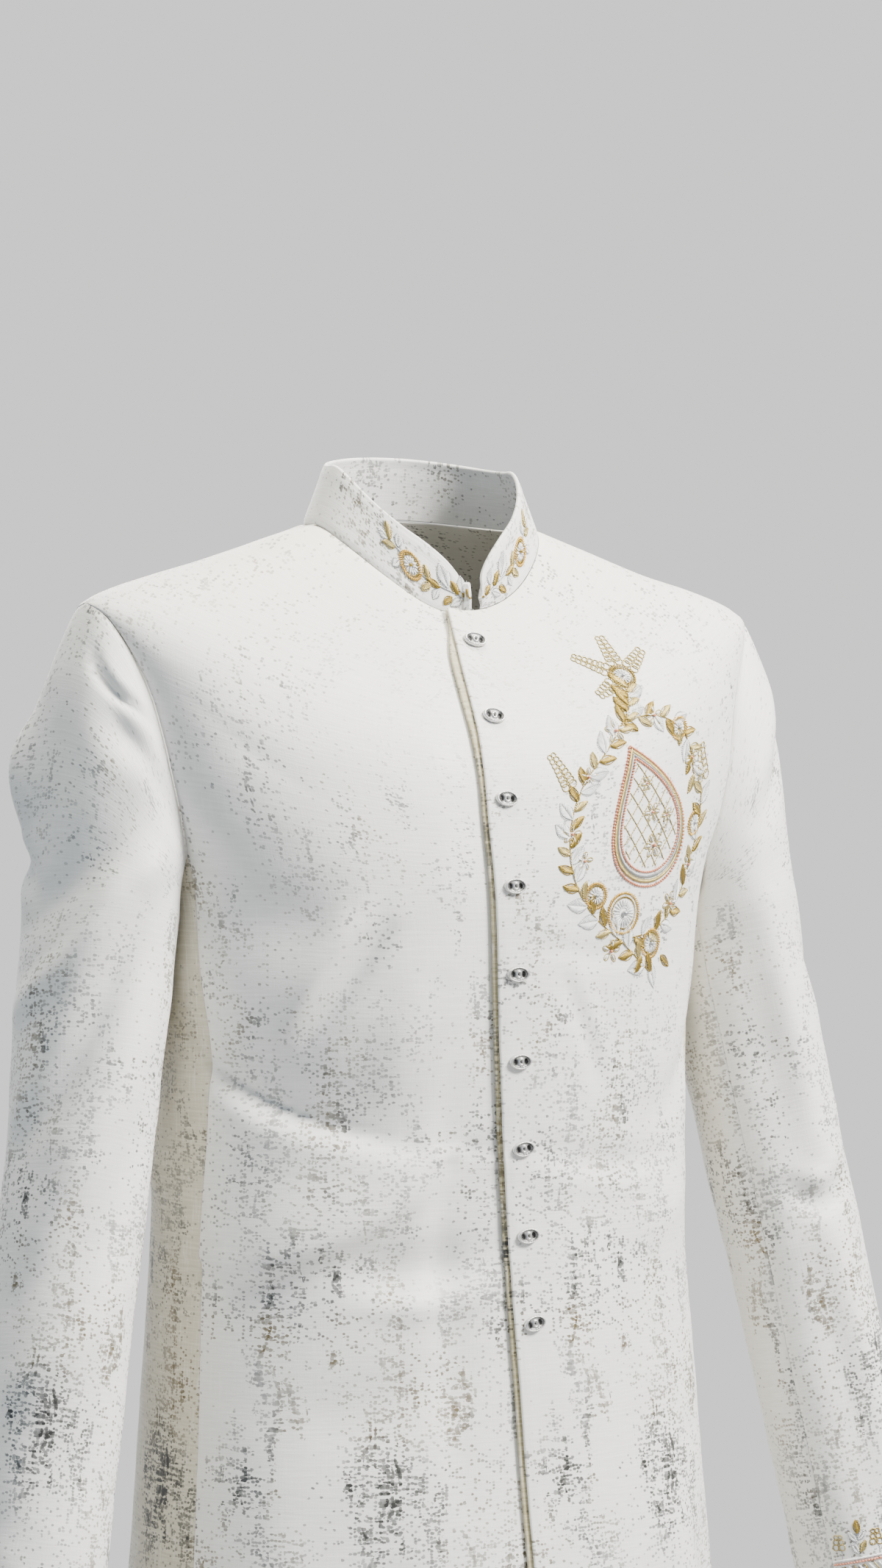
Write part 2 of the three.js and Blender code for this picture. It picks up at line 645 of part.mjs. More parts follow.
function sleeveSpot(name, around, down) {
  const normal = normalOf(SLEEVE_SHAPES[name], around, down, 2, 3);
  const point = SLEEVE_SHAPES[name](around, down);
  const clearOfSeam = ease(down, -CAP_DEPTH, -CAP_DEPTH + 45);
  point.addScaledVector(normal, sleeveFoldHeight[name](point) * clearOfSeam);
  if (down <= -CAP_DEPTH) point.addScaledVector(capDirection(around), 2 * SEAM_GAP);
  return { point: clearOfBody(point), normal };
}

function makeSleeve(name, fromAround, toAround) {
  const columns = arounds(fromAround, toAround);
  columns[0] += SLEEVE_SEAM_INSET;
  columns[columns.length - 1] -= SLEEVE_SEAM_INSET;
  const downs = [...spread(CAP_ROWS, -CAP_DEPTH, 0), ...spread(ARM_ROWS, 0, SLEEVE_LENGTH).slice(1)];
  const grid = downs.map((down) => columns.map((around) => sleeveSpot(name, around, down)));
  return wall(grid, SLEEVE_WALL);
}

// Mirrors a geometry to the wearer's right and keeps its faces outward.
function mirrorX(geometry) {
  geometry.scale(-1, 1, 1);
  const index = geometry.index;
  for (let i = 0; i < index.count; i += 3) {
    const first = index.getX(i);
    index.setX(i, index.getX(i + 1));
    index.setX(i + 1, first);
  }
  geometry.computeVertexNormals();
  return geometry;
}

// An oval shank button: a rope-like rim round a hollow with a small boss.
const BUTTON_PROFILE = [
  { share: 0.0, height: 3.0 },
  { share: 0.28, height: 2.7 },
  { share: 0.42, height: 1.7 },
  { share: 0.66, height: 1.7 },
  { share: 0.8, height: 3.1 },
  { share: 0.93, height: 2.9 },
  { share: 1.0, height: 1.8 },
  { share: 0.86, height: 0.4 },
  { share: 0.0, height: 0.4 },
];
const BUTTON_SIDES = 12;

function makeButton(spot) {
  const profile = BUTTON_PROFILE.map(({ share, height }) => new THREE.Vector2(share, height)).reverse();
  const geometry = new THREE.LatheGeometry(profile, BUTTON_SIDES);
  const out = spot.normal;
  const along = UP.clone().cross(out).negate().normalize();
  const rise = along.clone().cross(out).normalize();
  const place = new THREE.Matrix4().makeBasis(
    along.multiplyScalar(BUTTON_HALF_LENGTH),
    out,
    rise.multiplyScalar(BUTTON_HALF_HEIGHT),
  );
  return geometry.applyMatrix4(place.setPosition(spot.point));
}

// Spots down the button line, a fixed length of cloth apart.
function buttonSpots() {
  const spots = [];
  let travelled = 0;
  let wanted = FIRST_BUTTON_DROP;
  let last = null;
  for (let station = NECK_STATION; spots.length < BUTTON_COUNT; station -= 1) {
    const spot = bodySpot(1, turnAtX(torsoRing(station).closing, station), station);
    if (last) travelled += spot.point.distanceTo(last);
    last = spot.point;
    if (travelled < wanted) continue;
    spots.push(spot);
    wanted += BUTTON_PITCH;
  }
  return spots;
}

// Trousers. share runs from the centre front or back, and lower down the inside of the leg, to the outside.
const TROUSER_ROWS = 13;
const TROUSER_COLUMNS = 7;
const TROUSER_SEAM_INSET = 0.0006; // share of a panel's width
const WAISTBAND_COLUMNS = 32;
const WAISTBAND_END = 0.08; // degrees left open on each side of its seam

function trouserPoint(half, share, z) {
  const hip = hipRing(Math.max(z, HIP_RINGS[HIP_RINGS.length - 1].z));
  const onHip = ovalPoint(hip, half === "front" ? 90 * share : 180 - 90 * share);
  const leg = legRing(z);
  const angle = Math.PI * (1 - share);
  const deep = half === "front" ? -leg.deep : leg.deep;
  const onLeg = new THREE.Vector2(leg.x + leg.across * Math.cos(angle), leg.y + deep * Math.sin(angle));
  const flat = onHip.lerp(onLeg, 1 - ease(z, CROTCH_END, CROTCH_START));
  return new THREE.Vector3(Math.max(flat.x, SEAM_GAP / 2), flat.y, z);
}

function makeTrouserPanel(side, half) {
  const surface = (share, z) => trouserPoint(half, share, z);
  const grid = spread(TROUSER_ROWS, TROUSER_HEM, TROUSER_TOP - SEAM_GAP).map((z) =>
    spread(TROUSER_COLUMNS, TROUSER_SEAM_INSET, 1 - TROUSER_SEAM_INSET).map((share) => {
      const facing = half === "front" ? 1 : -1;
      const normal = normalOf(surface, share, z, 0.02 * facing, 4);
      return { point: surface(share, z), normal };
    }),
  );
  const geometry = wall(half === "front" ? grid : mirrored(grid), TROUSER_WALL);
  return side > 0 ? geometry : mirrorX(geometry);
}

function makeWaistband() {
  const ring = hipRing(TROUSER_TOP);
  const surface = (turn, z) => {
    const flat = ovalPoint(ring, turn > 180 ? turn - 360 : turn);
    return new THREE.Vector3(flat.x, flat.y, z);
  };
  const grid = spread(1, TROUSER_TOP, WAISTBAND_TOP).map((z) =>
    spread(WAISTBAND_COLUMNS, WAISTBAND_END, 360 - WAISTBAND_END).map((turn) => ({
      point: surface(turn, z),
      normal: normalOf(surface, turn, z, 1, 3),
    })),
  );
  return wall(grid, JACKET_WALL);
}

const TOP_SLEEVE = { from: SLEEVE_BACK_SEAM - 360, to: SLEEVE_FRONT_SEAM };
const UNDER_SLEEVE = { from: SLEEVE_FRONT_SEAM, to: SLEEVE_BACK_SEAM };

for (const [name, side] of [["right", -1], ["left", 1]]) {
  add(`${name}_front`, makeFront(side), IVORY);
  add(`${name}_side`, makeSide(side), IVORY);
  add(`${name}_back`, makeBack(side), IVORY);
  for (const [piece, { from, to }] of [["top_sleeve", TOP_SLEEVE], ["under_sleeve", UNDER_SLEEVE]]) {
    const sleeve = makeSleeve(name, from, to);
    add(`${name}_${piece}`, side > 0 ? sleeve : mirrorX(sleeve), IVORY);
  }
  for (const half of ["front", "back"])
    add(`trouser_${name}_${half}`, makeTrouserPanel(side, half), PLAIN_IVORY);
}
add("left_front_facing", makeFacing(), SHADED_IVORY);
add("collar", makeCollar(), IVORY);
buttonSpots().forEach((spot, i) => add(`button_${i + 1}`, makeButton(spot), OLD_SILVER));
add("trouser_waistband", makeWaistband(), PLAIN_IVORY);

export default suit;
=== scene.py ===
"""Jodhpuri suit: a stand-collar jacket of ivory brocade over plain trousers, hollow, in its form when worn.

Tables are in millimetres, in the part's own frame: +Z up, the front towards -Y, +X the wearer's left.
A "turn" is an angle round the body in degrees, 0 at centre front and 90 at the wearer's left side.
A "station" runs up the cloth of the body from the hem; "down" runs down a sleeve from the biceps.
"""
import json
import bpy
import numpy as np
from mathutils import Vector
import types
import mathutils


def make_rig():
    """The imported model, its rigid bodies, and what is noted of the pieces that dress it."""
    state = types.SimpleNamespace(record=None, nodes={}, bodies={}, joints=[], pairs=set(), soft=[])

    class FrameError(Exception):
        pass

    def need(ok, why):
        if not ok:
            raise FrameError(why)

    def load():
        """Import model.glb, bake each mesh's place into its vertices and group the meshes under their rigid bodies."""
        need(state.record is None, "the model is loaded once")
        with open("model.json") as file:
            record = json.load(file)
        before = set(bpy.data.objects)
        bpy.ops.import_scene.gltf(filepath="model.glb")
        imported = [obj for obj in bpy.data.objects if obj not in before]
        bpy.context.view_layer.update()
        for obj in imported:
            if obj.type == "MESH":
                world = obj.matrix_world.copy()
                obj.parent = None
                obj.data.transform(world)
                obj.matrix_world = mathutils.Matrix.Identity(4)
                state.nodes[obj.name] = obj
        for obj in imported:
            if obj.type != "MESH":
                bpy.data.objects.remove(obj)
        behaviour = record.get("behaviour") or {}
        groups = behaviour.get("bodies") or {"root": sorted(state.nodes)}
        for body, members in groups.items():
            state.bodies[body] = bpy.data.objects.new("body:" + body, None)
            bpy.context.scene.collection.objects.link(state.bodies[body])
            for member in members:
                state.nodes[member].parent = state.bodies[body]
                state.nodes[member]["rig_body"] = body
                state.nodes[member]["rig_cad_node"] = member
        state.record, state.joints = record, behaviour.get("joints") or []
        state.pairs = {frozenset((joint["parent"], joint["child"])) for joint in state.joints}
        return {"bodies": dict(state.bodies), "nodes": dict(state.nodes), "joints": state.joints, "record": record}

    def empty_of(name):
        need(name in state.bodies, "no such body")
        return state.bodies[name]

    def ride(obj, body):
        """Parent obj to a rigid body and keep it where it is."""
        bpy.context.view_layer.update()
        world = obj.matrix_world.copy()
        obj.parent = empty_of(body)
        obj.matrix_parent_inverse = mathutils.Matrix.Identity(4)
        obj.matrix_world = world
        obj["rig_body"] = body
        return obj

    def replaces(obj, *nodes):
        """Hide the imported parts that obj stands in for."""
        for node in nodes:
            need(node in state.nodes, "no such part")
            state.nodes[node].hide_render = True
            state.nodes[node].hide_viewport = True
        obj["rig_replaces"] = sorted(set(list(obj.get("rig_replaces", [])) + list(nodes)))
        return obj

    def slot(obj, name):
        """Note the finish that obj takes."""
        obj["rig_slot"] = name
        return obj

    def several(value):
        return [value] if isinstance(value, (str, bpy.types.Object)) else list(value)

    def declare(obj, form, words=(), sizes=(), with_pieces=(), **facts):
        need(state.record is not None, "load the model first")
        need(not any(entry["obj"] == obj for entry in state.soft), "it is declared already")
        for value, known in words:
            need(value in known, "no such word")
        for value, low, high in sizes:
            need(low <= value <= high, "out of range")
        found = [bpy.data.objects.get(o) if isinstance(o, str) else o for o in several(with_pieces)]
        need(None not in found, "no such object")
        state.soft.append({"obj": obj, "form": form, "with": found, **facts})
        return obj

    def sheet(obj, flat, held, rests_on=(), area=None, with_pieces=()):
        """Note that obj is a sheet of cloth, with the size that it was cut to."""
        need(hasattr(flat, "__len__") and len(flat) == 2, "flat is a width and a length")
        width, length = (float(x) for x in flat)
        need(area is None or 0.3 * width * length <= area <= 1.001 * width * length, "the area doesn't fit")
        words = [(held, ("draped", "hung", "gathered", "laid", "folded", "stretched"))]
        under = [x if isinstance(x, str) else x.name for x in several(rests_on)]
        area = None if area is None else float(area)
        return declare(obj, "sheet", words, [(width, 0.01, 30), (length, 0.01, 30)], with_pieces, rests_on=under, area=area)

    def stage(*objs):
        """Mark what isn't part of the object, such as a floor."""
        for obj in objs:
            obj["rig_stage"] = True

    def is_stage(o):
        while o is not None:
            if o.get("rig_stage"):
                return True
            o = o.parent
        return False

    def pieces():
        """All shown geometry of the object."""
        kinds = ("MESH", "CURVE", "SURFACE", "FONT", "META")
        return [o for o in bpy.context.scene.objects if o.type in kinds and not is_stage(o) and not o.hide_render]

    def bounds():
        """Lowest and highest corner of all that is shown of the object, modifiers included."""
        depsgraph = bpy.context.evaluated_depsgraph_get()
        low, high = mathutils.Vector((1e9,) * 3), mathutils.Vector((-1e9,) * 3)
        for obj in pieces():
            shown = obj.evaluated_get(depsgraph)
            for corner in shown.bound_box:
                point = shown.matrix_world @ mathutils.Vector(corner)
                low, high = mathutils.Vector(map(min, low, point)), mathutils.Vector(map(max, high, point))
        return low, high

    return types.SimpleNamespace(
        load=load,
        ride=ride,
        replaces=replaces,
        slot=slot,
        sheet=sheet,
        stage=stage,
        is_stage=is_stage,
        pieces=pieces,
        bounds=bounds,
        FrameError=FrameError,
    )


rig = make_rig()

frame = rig.load()
CAD_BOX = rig.bounds()
BODY = "root"
MM = 0.001

# ---------------------------------------------------------------- sizes

JACKET_WALL = 2.0
FACING_WALL = 1.8
SLEEVE_WALL = 1.6
COLLAR_WALL = 2.6
TROUSER_WALL = 1.4
SEAM_GAP = 0.3

BUTTON_COUNT = 9
BUTTON_PITCH = 54.0
FIRST_BUTTON_DROP = 23.0
OVERLAP = 12.0
UNDERLAP = 26.0
FRONT_LIFT = 2.5
FACING_PEEK = 3.4

COLLAR_HEIGHT = 39.0
COLLAR_CORNER = 36.0
COLLAR_RIGHT_START = 0.14
COLLAR_LEFT_START = 0.34
COLLAR_SIDE_LEAN = 0.4
COLLAR_FRONT_LEAN = 0.1
COLLAR_BACK_LEAN = 0.22
COLLAR_RIGHT_END = 2.5
COLLAR_LEFT_END = 10.5
NECK_HALF_WIDTH = 79.0
NECK_HALF_DEPTH = 62.0

VENT_TOP = 205.0
VENT_SPREAD = 3.0
NECK_STATION = 862.0
SHOULDER_STATION = 708.0
FRONT_SEAM_AROUND = 135.0
BACK_SEAM_AROUND = 120.0
SLEEVE_FRONT_SEAM = 150.0
SLEEVE_BACK_SEAM = 285.0
SLEEVE_LENGTH = 462.0
SLEEVE_BODY_CLEARANCE = 1.6
AXIS_REACH = 5.0
CAP_DEPTH = 180.0
TROUSER_TOP = -462.0
TROUSER_HEM = -1492.0
TROUSER_PANEL_WIDTH = 270.0
WAISTBAND_TOP = -423.0
CROTCH_START = -650.0
CROTCH_END = -745.0
SEAT_EASE = 0.7
SHOULDER_BLEND = 44.0
BLEND_WEIGHTS = ((-1, 0.1), (-0.5, 0.25), (0, 0.3), (0.5, 0.25), (1, 0.1))


def table(columns, rows):
    """Rows of numbers as one array for each named column."""
    return dict(zip(columns.split(), np.array(rows, float).T))


TORSO = table("station front_z side_z back_z half_width front back middle square closing", [
    (0, -750, -750, -748, 199, 140, 130, -3, 2.3, 26),
    (95, -655, -655, -655, 192, 133, 124, -1, 2.3, 23),
    (190, -560, -560, -560, 185, 126, 116, 1, 2.3, 19),
    (315, -435, -435, -435, 178, 121, 105, 3, 2.25, 12),
    (420, -330, -330, -330, 181, 125, 112, 3, 2.25, 5),
    (515, -240, -235, -235, 186, 128, 122, 3, 2.3, 0.5),
    (605, -188, -152, -155, 206, 122, 126, 2, 2.3, -2),
    (672, -147, -82, -104, 224, 113, 119, 1, 2.2, -2),
    (708, -126, -53, -70, 231, 102, 108, 0, 2.1, -2),
    (786, -86, -25, -24, 152, 81, 84, 0, 2.0, -2),
    (862, -57, 0, 8, 79, 63, 61, 0, 2.0, -1),
])
ARMHOLE = table("around station front back", [
    (0, 708, 90, 90),
    (30, 697, 77, 103),
    (60, 662, 70, 113),
    (90, 614, 67.5, 118),
    (120, 566, 68.5, 116),
    (150, 532, 74.5, 107),
    (180, 520, 90, 90),
])
BODY_SEAMS = table("station front back", [
    (0, 70, 118),
    (190, 71, 117),
    (315, 72, 116),
    (420, 69, 114),
    (515, 75, 110),
])
SLEEVE = table("down x y z across deep", [
    (0, 221, 0, -247, 45.5, 66),
    (85, 235, -14, -330, 44.5, 57),
    (177, 250, -28, -420, 43, 52),
    (304, 272, -44, -545, 43, 49),
    (462, 298, -64, -700, 42, 47),
])
HIPS = table("z half_width front back middle square", [
    (-462, 150, 104, 84, 3, 2.15),
    (-540, 164, 112, 102, 3, 2.2),
    (-620, 174, 115, 116, 2, 2.2),
    (-720, 178, 113, 112, 0, 2.2),
    (-800, 178, 110, 108, 0, 2.2),
])
LEG = table("z x y across deep", [
    (-640, 90, 0, 86, 106),
    (-730, 90, -1, 86.5, 104),
    (-830, 92, -3, 82, 95),
    (-1010, 97, 1, 68, 79),
    (-1250, 104, 6, 60, 66),
    (-1492, 110, 10, 55, 59),
])

def fold(start, bend, end, width, depth, lip=0.0):
    """A crease of the cloth along a path of three points: each a turn and a station on the body, an angle
    round the arm and a distance down it on a sleeve, or a share of the width and a level on the trousers.

    width is the crease's half-width, and a pair gives its left and right flanks, seen up the path from
    outside. A minus depth is a trough. lip is the share of the depth that stands up again beside it, on
    the left flank if above 0 and on the right one if below.
    """
    return {"path": (start, bend, end), "width": width, "depth": depth, "lip": lip}


BODY_FOLDS = [
    # the fullness of the chest below each shoulder
    fold((-70, 545), (-64, 598), (-52, 650), 46, 5.0),
    fold((70, 545), (64, 598), (52, 650), 46, 4.5),
    # right front: the chest hangs over a drag from the side seam, and a pillow swells under it
    fold((-68, 414), (-48, 388), (-16, 365), (44, 9), -10.5),
    fold((-68, 412), (-50, 388), (-24, 369), 4.5, -3.4),
    fold((-62, 294), (-38, 305), (-14, 346), (42, 10), 10.0),
    fold((-70, 516), (-50, 506), (-33, 500), 24, -4.5),
    # right chest: the ridge down from the chest and the hollow beside it
    fold((-28, 508), (-37, 476), (-47, 436), (7, 12), 6.0),
    fold((-23, 498), (-31, 464), (-41, 432), 7, -5.0),
    fold((-16, 470), (-20, 430), (-24, 396), 16, 3.4),
    # right front below the waist
    fold((-34, 284), (-19, 287), (-6, 294), (17, 15), -9.5),
    fold((-8, 424), (-11, 300), (-8, 150), (22, 13), -5.0),
    fold((-3, 276), (-16, 268), (-34, 276), (10, 16), 4.5),
    fold((-10, 226), (-24, 206), (-42, 196), 24, -4.0),
    fold((-44, 170), (-47, 90), (-44, 2), 26, 4.0),
    fold((-24, 120), (-22, 60), (-23, 2), 20, -4.0),
    # left front, nearly smooth
    fold((9, 466), (14, 436), (19, 402), 6, -2.2, 0.5),
    fold((1, 490), (18, 480), (38, 483), 7, -1.6),
    fold((4, 362), (24, 350), (46, 354), 9, -2.8, -0.4),
    fold((70, 446), (56, 400), (34, 374), 16, -5.0),
    fold((60, 330), (46, 318), (28, 312), 20, 4.0),
    fold((36, 150), (40, 80), (38, 2), 24, 3.6),
    fold((52, 120), (55, 60), (54, 2), 17, -3.6),
    # side panels
    fold((-84, 424), (-92, 402), (-106, 392), 11, -5.0, -0.3),
    fold((84, 426), (93, 404), (108, 396), 11, -4.6, -0.3),
    fold((-86, 352), (-95, 344), (-106, 350), 10, 3.2),
    fold((86, 356), (95, 346), (106, 348), 10, 3.0),
    # back
    fold((-120, 545), (-128, 452), (-139, 360), 15, -5.6, 0.35),
    fold((121, 540), (130, 455), (141, 372), 16, -5.0, -0.35),
    fold((-168, 336), (180, 322), (158, 334), 13, -4.2, 0.4),
    fold((-122, 352), (-138, 336), (-158, 346), 11, -3.8, 0.3),
    fold((128, 320), (146, 308), (160, 296), 12, -3.8),
    fold((170, 640), (176, 560), (172, 470), 20, -2.2),
    fold((-171, 300), (-167, 160), (-170, 10), 34, 3.0),
    fold((150, 240), (146, 120), (148, 4), 26, 3.4),
]
SLEEVE_FOLDS = {
    "right": [
        fold((25, -162), (46, -148), (72, -170), 3.6, -6.5, -0.3),
        fold((44, -138), (60, -132), (80, -148), (13, 7), -5.5),
        fold((-36, -120), (-27, -86), (-22, -50), 20, 13.0),
        fold((-54, -44), (-26, -30), (0, -12), 10, -5.0, 0.3),
        fold((86, -132), (47, -26), (-8, 6), 14, -6.0),
        fold((106, -96), (64, 14), (-14, 60), 12, 6.0),
        fold((90, 4), (56, 92), (12, 148), 13, -6.6, 0.25),
        fold((106, 66), (82, 132), (40, 196), 13, 4.4),
        fold((112, 130), (84, 186), (30, 240), 15, -5.0),
        fold((108, 226), (70, 268), (26, 296), 16, 4.0),
        fold((100, 300), (76, 344), (40, 388), 18, -4.6),
        fold((-56, 128), (-86, 168), (-118, 196), 15, -6.4, 0.4),
        fold((-70, 210), (-96, 240), (-112, 284), 15, -5.0),
        fold((-100, -90), (-112, -30), (-108, 50), 16, -4.6),
    ],
    "left": [
        fold((10, -136), (46, -98), (84, -84), 9, -3.4, -0.4),
        fold((-70, -110), (-60, -76), (-50, -40), 24, 9.0),
        fold((124, 26), (116, 110), (112, 196), 19, -5.0),
        fold((96, -10), (90, 80), (84, 168), 11, 3.6),
        fold((120, 188), (92, 198), (66, 188), 8, -6.0, 0.5),
        fold((92, 214), (82, 300), (78, 400), 13, 4.0),
        fold((108, 220), (104, 310), (102, 410), 17, -4.4),
        fold((60, 20), (30, 56), (-6, 78), 13, -3.6),
        fold((-56, 122), (-84, 164), (-114, 192), 15, -6.2, 0.4),
        fold((-74, 216), (-98, 252), (-110, 292), 15, -4.8),
        fold((-96, -84), (-110, -22), (-106, 60), 16, -4.8),
    ],
}
TROUSER_FOLDS = [
    fold((0.42, -742), (0.3, -764), (0.1, -770), 13, -4.0, 0.4),
    fold((0.7, -1020), (0.45, -1036), (0.2, -1030), 16, -3.4),
    fold((0.8, -1140), (0.5, -1166), (0.25, -1150), 15, -3.0, 0.3),
    fold((0.75, -1420), (0.5, -1436), (0.2, -1428), 12, -3.6, 0.4),
    fold((0.7, -1462), (0.45, -1470), (0.2, -1458), 10, 3.0),
]


# ---------------------------------------------------------------- shape helpers

def curve(at, value):
    """A smooth curve through the values, as a function of where it is read."""
    if at[0] > at[-1]:
        at, value = at[::-1], value[::-1]
    before = np.maximum(np.arange(len(at)) - 1, 0)
    after = np.minimum(np.arange(len(at)) + 1, len(at) - 1)
    slope = (value[after] - value[before]) / (at[after] - at[before])

    def read(x):
        x = np.clip(x, at[0], at[-1])
        i = np.clip(np.searchsorted(at, x, side="right") - 1, 0, len(at) - 2)
        span = at[i + 1] - at[i]
        t = (x - at[i]) / span
        t2, t3 = t * t, t ** 3
        return (
            (2 * t3 - 3 * t2 + 1) * value[i]
            + (t3 - 2 * t2 + t) * span * slope[i]
            + (3 * t2 - 2 * t3) * value[i + 1]
            + (t3 - t2) * span * slope[i + 1]
        )
    return read


def curves(rows, along):
    return {key: curve(rows[along], rows[key]) for key in rows if key != along}


def mix(a, b, share):
    return a + (b - a) * share


def ease(x, low, high):
    t = np.clip((x - low) / (high - low), 0, 1)
    return t * t * (3 - 2 * t)


def unit(v):
    return v / np.maximum(np.linalg.norm(v, axis=-1, keepdims=True), 1e-9)


def vec(x, y, z):
    return np.stack(np.broadcast_arrays(np.asarray(x, float), y, z), -1)


def distance_run(points, axis=0):
    """The distance run from the first point of a line, or from one side of a grid of points."""
    steps = np.linalg.norm(np.diff(points, axis=axis), axis=-1)
    return np.concatenate([np.zeros_like(steps.take([0], axis)), np.cumsum(steps, axis)], axis)


torso_at = curves(TORSO, "station")
armhole_at = curves(ARMHOLE, "around")
seam_at = curves(BODY_SEAMS, "station")
sleeve_at = curves(SLEEVE, "down")
leg_at = curves(LEG, "z")
SEAT_ROW = 2
over_seat = HIPS["z"][SEAT_ROW] - TORSO["side_z"][0]
jacket_back = torso_at["middle"](over_seat) + torso_at["back"](over_seat)
HIPS["back"][SEAT_ROW] = jacket_back - JACKET_WALL - SEAT_EASE - HIPS["middle"][SEAT_ROW]
hips_at = curves(HIPS, "z")


def oval(ring, level, turn):
    """x and y on an oval whose front and back differ, at a level of its curves."""
    s, c = np.sin(np.radians(turn)), np.cos(np.radians(turn))
    power = 2 / ring["square"](level)
    depth = np.where(c > 0, ring["front"](level), ring["back"](level))
    x = ring["half_width"](level) * np.sign(s) * np.abs(s) ** power
    return x, ring["middle"](level) - depth * np.sign(c) * np.abs(c) ** power


def ring_point(turn, station):
    x, y = oval(torso_at, station, turn)
    c = np.cos(np.radians(turn))
    end_z = np.where(c > 0, torso_at["front_z"](station), torso_at["back_z"](station))
    return vec(x, y, mix(torso_at["side_z"](station), end_z, c * c))


def torso_point(turn, station):
    """A point of the body, averaged along the station near the shoulder, so no edge crosses the chest."""
    turn, station = np.broadcast_arrays(np.asarray(turn, float), np.asarray(station, float))
    point = ring_point(turn, station)
    level = ease(station, 560, 680) * (1 - ease(station, 750, 850))
    reach = SHOULDER_BLEND * level * mix(0.12, 1, ease(np.abs(np.cos(np.radians(turn))), 0.05, 0.55))
    near = reach > 0.01
    if near.any():
        a, b, d = turn[near], station[near], reach[near]
        point[near] = sum(weight * ring_point(a, b + share * d) for share, weight in BLEND_WEIGHTS)
    return point


def normal_of(surface, a, b, step_a, step_b):
    along_a = surface(a + step_a, b) - surface(a - step_a, b)
    along_b = surface(a, b + step_b) - surface(a, b - step_b)
    return unit(np.cross(along_a, along_b))


def torso_normal(turn, station):
    return normal_of(torso_point, turn, np.minimum(station, NECK_STATION - 3), 1, 3)


def turn_at_x(x, station):
    share = np.minimum(np.abs(x) / torso_at["half_width"](station), 1)
    return np.degrees(np.arcsin(share ** (torso_at["square"](station) / 2))) * np.sign(x)


def three_point_path(path, surface, steps=18):
    """Points of a smooth path through three places of a surface."""
    (a0, b0), (a1, b1), (a2, b2) = path
    if a1 > 150 and a0 < 0:
        a0 += 360
    t = np.linspace(0, 1, steps)
    w0, w1, w2 = (1 - t) * (1 - 2 * t), 4 * t * (1 - t), t * (2 * t - 1)
    return surface(a0 * w0 + a1 * w1 + a2 * w2, b0 * w0 + b1 * w1 + b2 * w2)


def fold_height(points, normals, folds, surface):
    """How far the creases raise or sink each point."""
    height = np.zeros(points.shape[:-1])
    for fold in folds:
        line = three_point_path(fold["path"], surface)
        left, right = np.broadcast_to(fold["width"], 2)
        reach = 3 * max(left, right)
        low, high = line.min(0) - reach, line.max(0) + reach
        near = np.all((points > low) & (points < high), axis=-1)
        p, n = points[near], normals[near]
        best = np.full(len(p), 1e9)
        signed = np.zeros(len(p))
        place = np.zeros(len(p))
        for i in range(len(line) - 1):
            run = line[i + 1] - line[i]
            t = np.clip(((p - line[i]) @ run) / (run @ run), 0, 1)
            off = p - line[i] - t[:, None] * run
            far = np.linalg.norm(off, axis=-1)
            closer = far < best
            side = np.sign(np.einsum("ij,ij->i", np.cross(run, off), n))
            best = np.where(closer, far, best)
            signed = np.where(closer, far * side, signed)
            place = np.where(closer, (i + t) / (len(line) - 1), place)
        q = signed / np.where(signed > 0, left, right)
        lip = abs(fold["lip"]) * np.exp(-((q - 1.7 * np.sign(fold["lip"] or 1)) / 0.9) ** 2)
        fade = np.sin(np.pi * mix(0.1, 0.9, place)) ** 0.9
        height[near] += fold["depth"] * fade * (np.exp(-q * q) - lip)
    return height


def unevenness(points, size, amount, seed):
    """A slow random swell, so that no stretch of cloth is quite even."""
    rng = np.random.default_rng(seed)
    height = np.zeros(points.shape[:-1])
    waves = 9
    for _ in range(waves):
        direction = unit(rng.normal(size=3))
        pace = 2 * np.pi / (size * rng.uniform(0.7, 1.6))
        height += np.sin(points @ direction * pace + rng.uniform(0, 6.3))
    return height * amount / np.sqrt(waves)


def steps_along(length, step, fine=(0.7, 1.5, 2.5, 4.0, 6.5)):
    """Shares of a length, close together near its two ends."""
    ends = np.array((0.0,) + tuple(fine))
    inner = np.linspace(ends[-1], length - ends[-1], max(int(length / step), 2) + 1)[1:-1]
    return np.concatenate([ends, inner, length - ends[::-1]]) / length


# ---------------------------------------------------------------- cloth shells

# How a side of a shell is finished: a ditch sunk along it and the ditch's reach, how round its rim is as a
# share of the wall, and a ridge that stands up just inside it, where the turned-in edge ends.
SEAM = dict(ditch=0.55, reach=1.8, round=0.1, ridge=0.0)
SLEEVE_SEAM = dict(ditch=0.45, reach=1.8, round=0.1, ridge=0.0)
FREE_EDGE = dict(ditch=0.0, reach=2.0, round=0.5, ridge=0.28)
NECK_SEAM = dict(ditch=0.6, reach=2.0, round=0.1, ridge=0.0)
RIDGE_INSET = 5.0
RIDGE_REACH = 2.6
RIM_ANGLES = (45, 90, 135)


def edge_distance(points):
    """The distance of each point from the four sides of its grid, measured along the cloth."""
    from_near, from_low = distance_run(points, 1), distance_run(points, 0)
    return {
        "near": from_near,
        "far": from_near[:, -1:] - from_near,
        "low": from_low,
        "high": from_low[-1:] - from_low,
    }


def grid_normals(points):
    return unit(np.cross(np.gradient(points, axis=1), np.gradient(points, axis=0)))


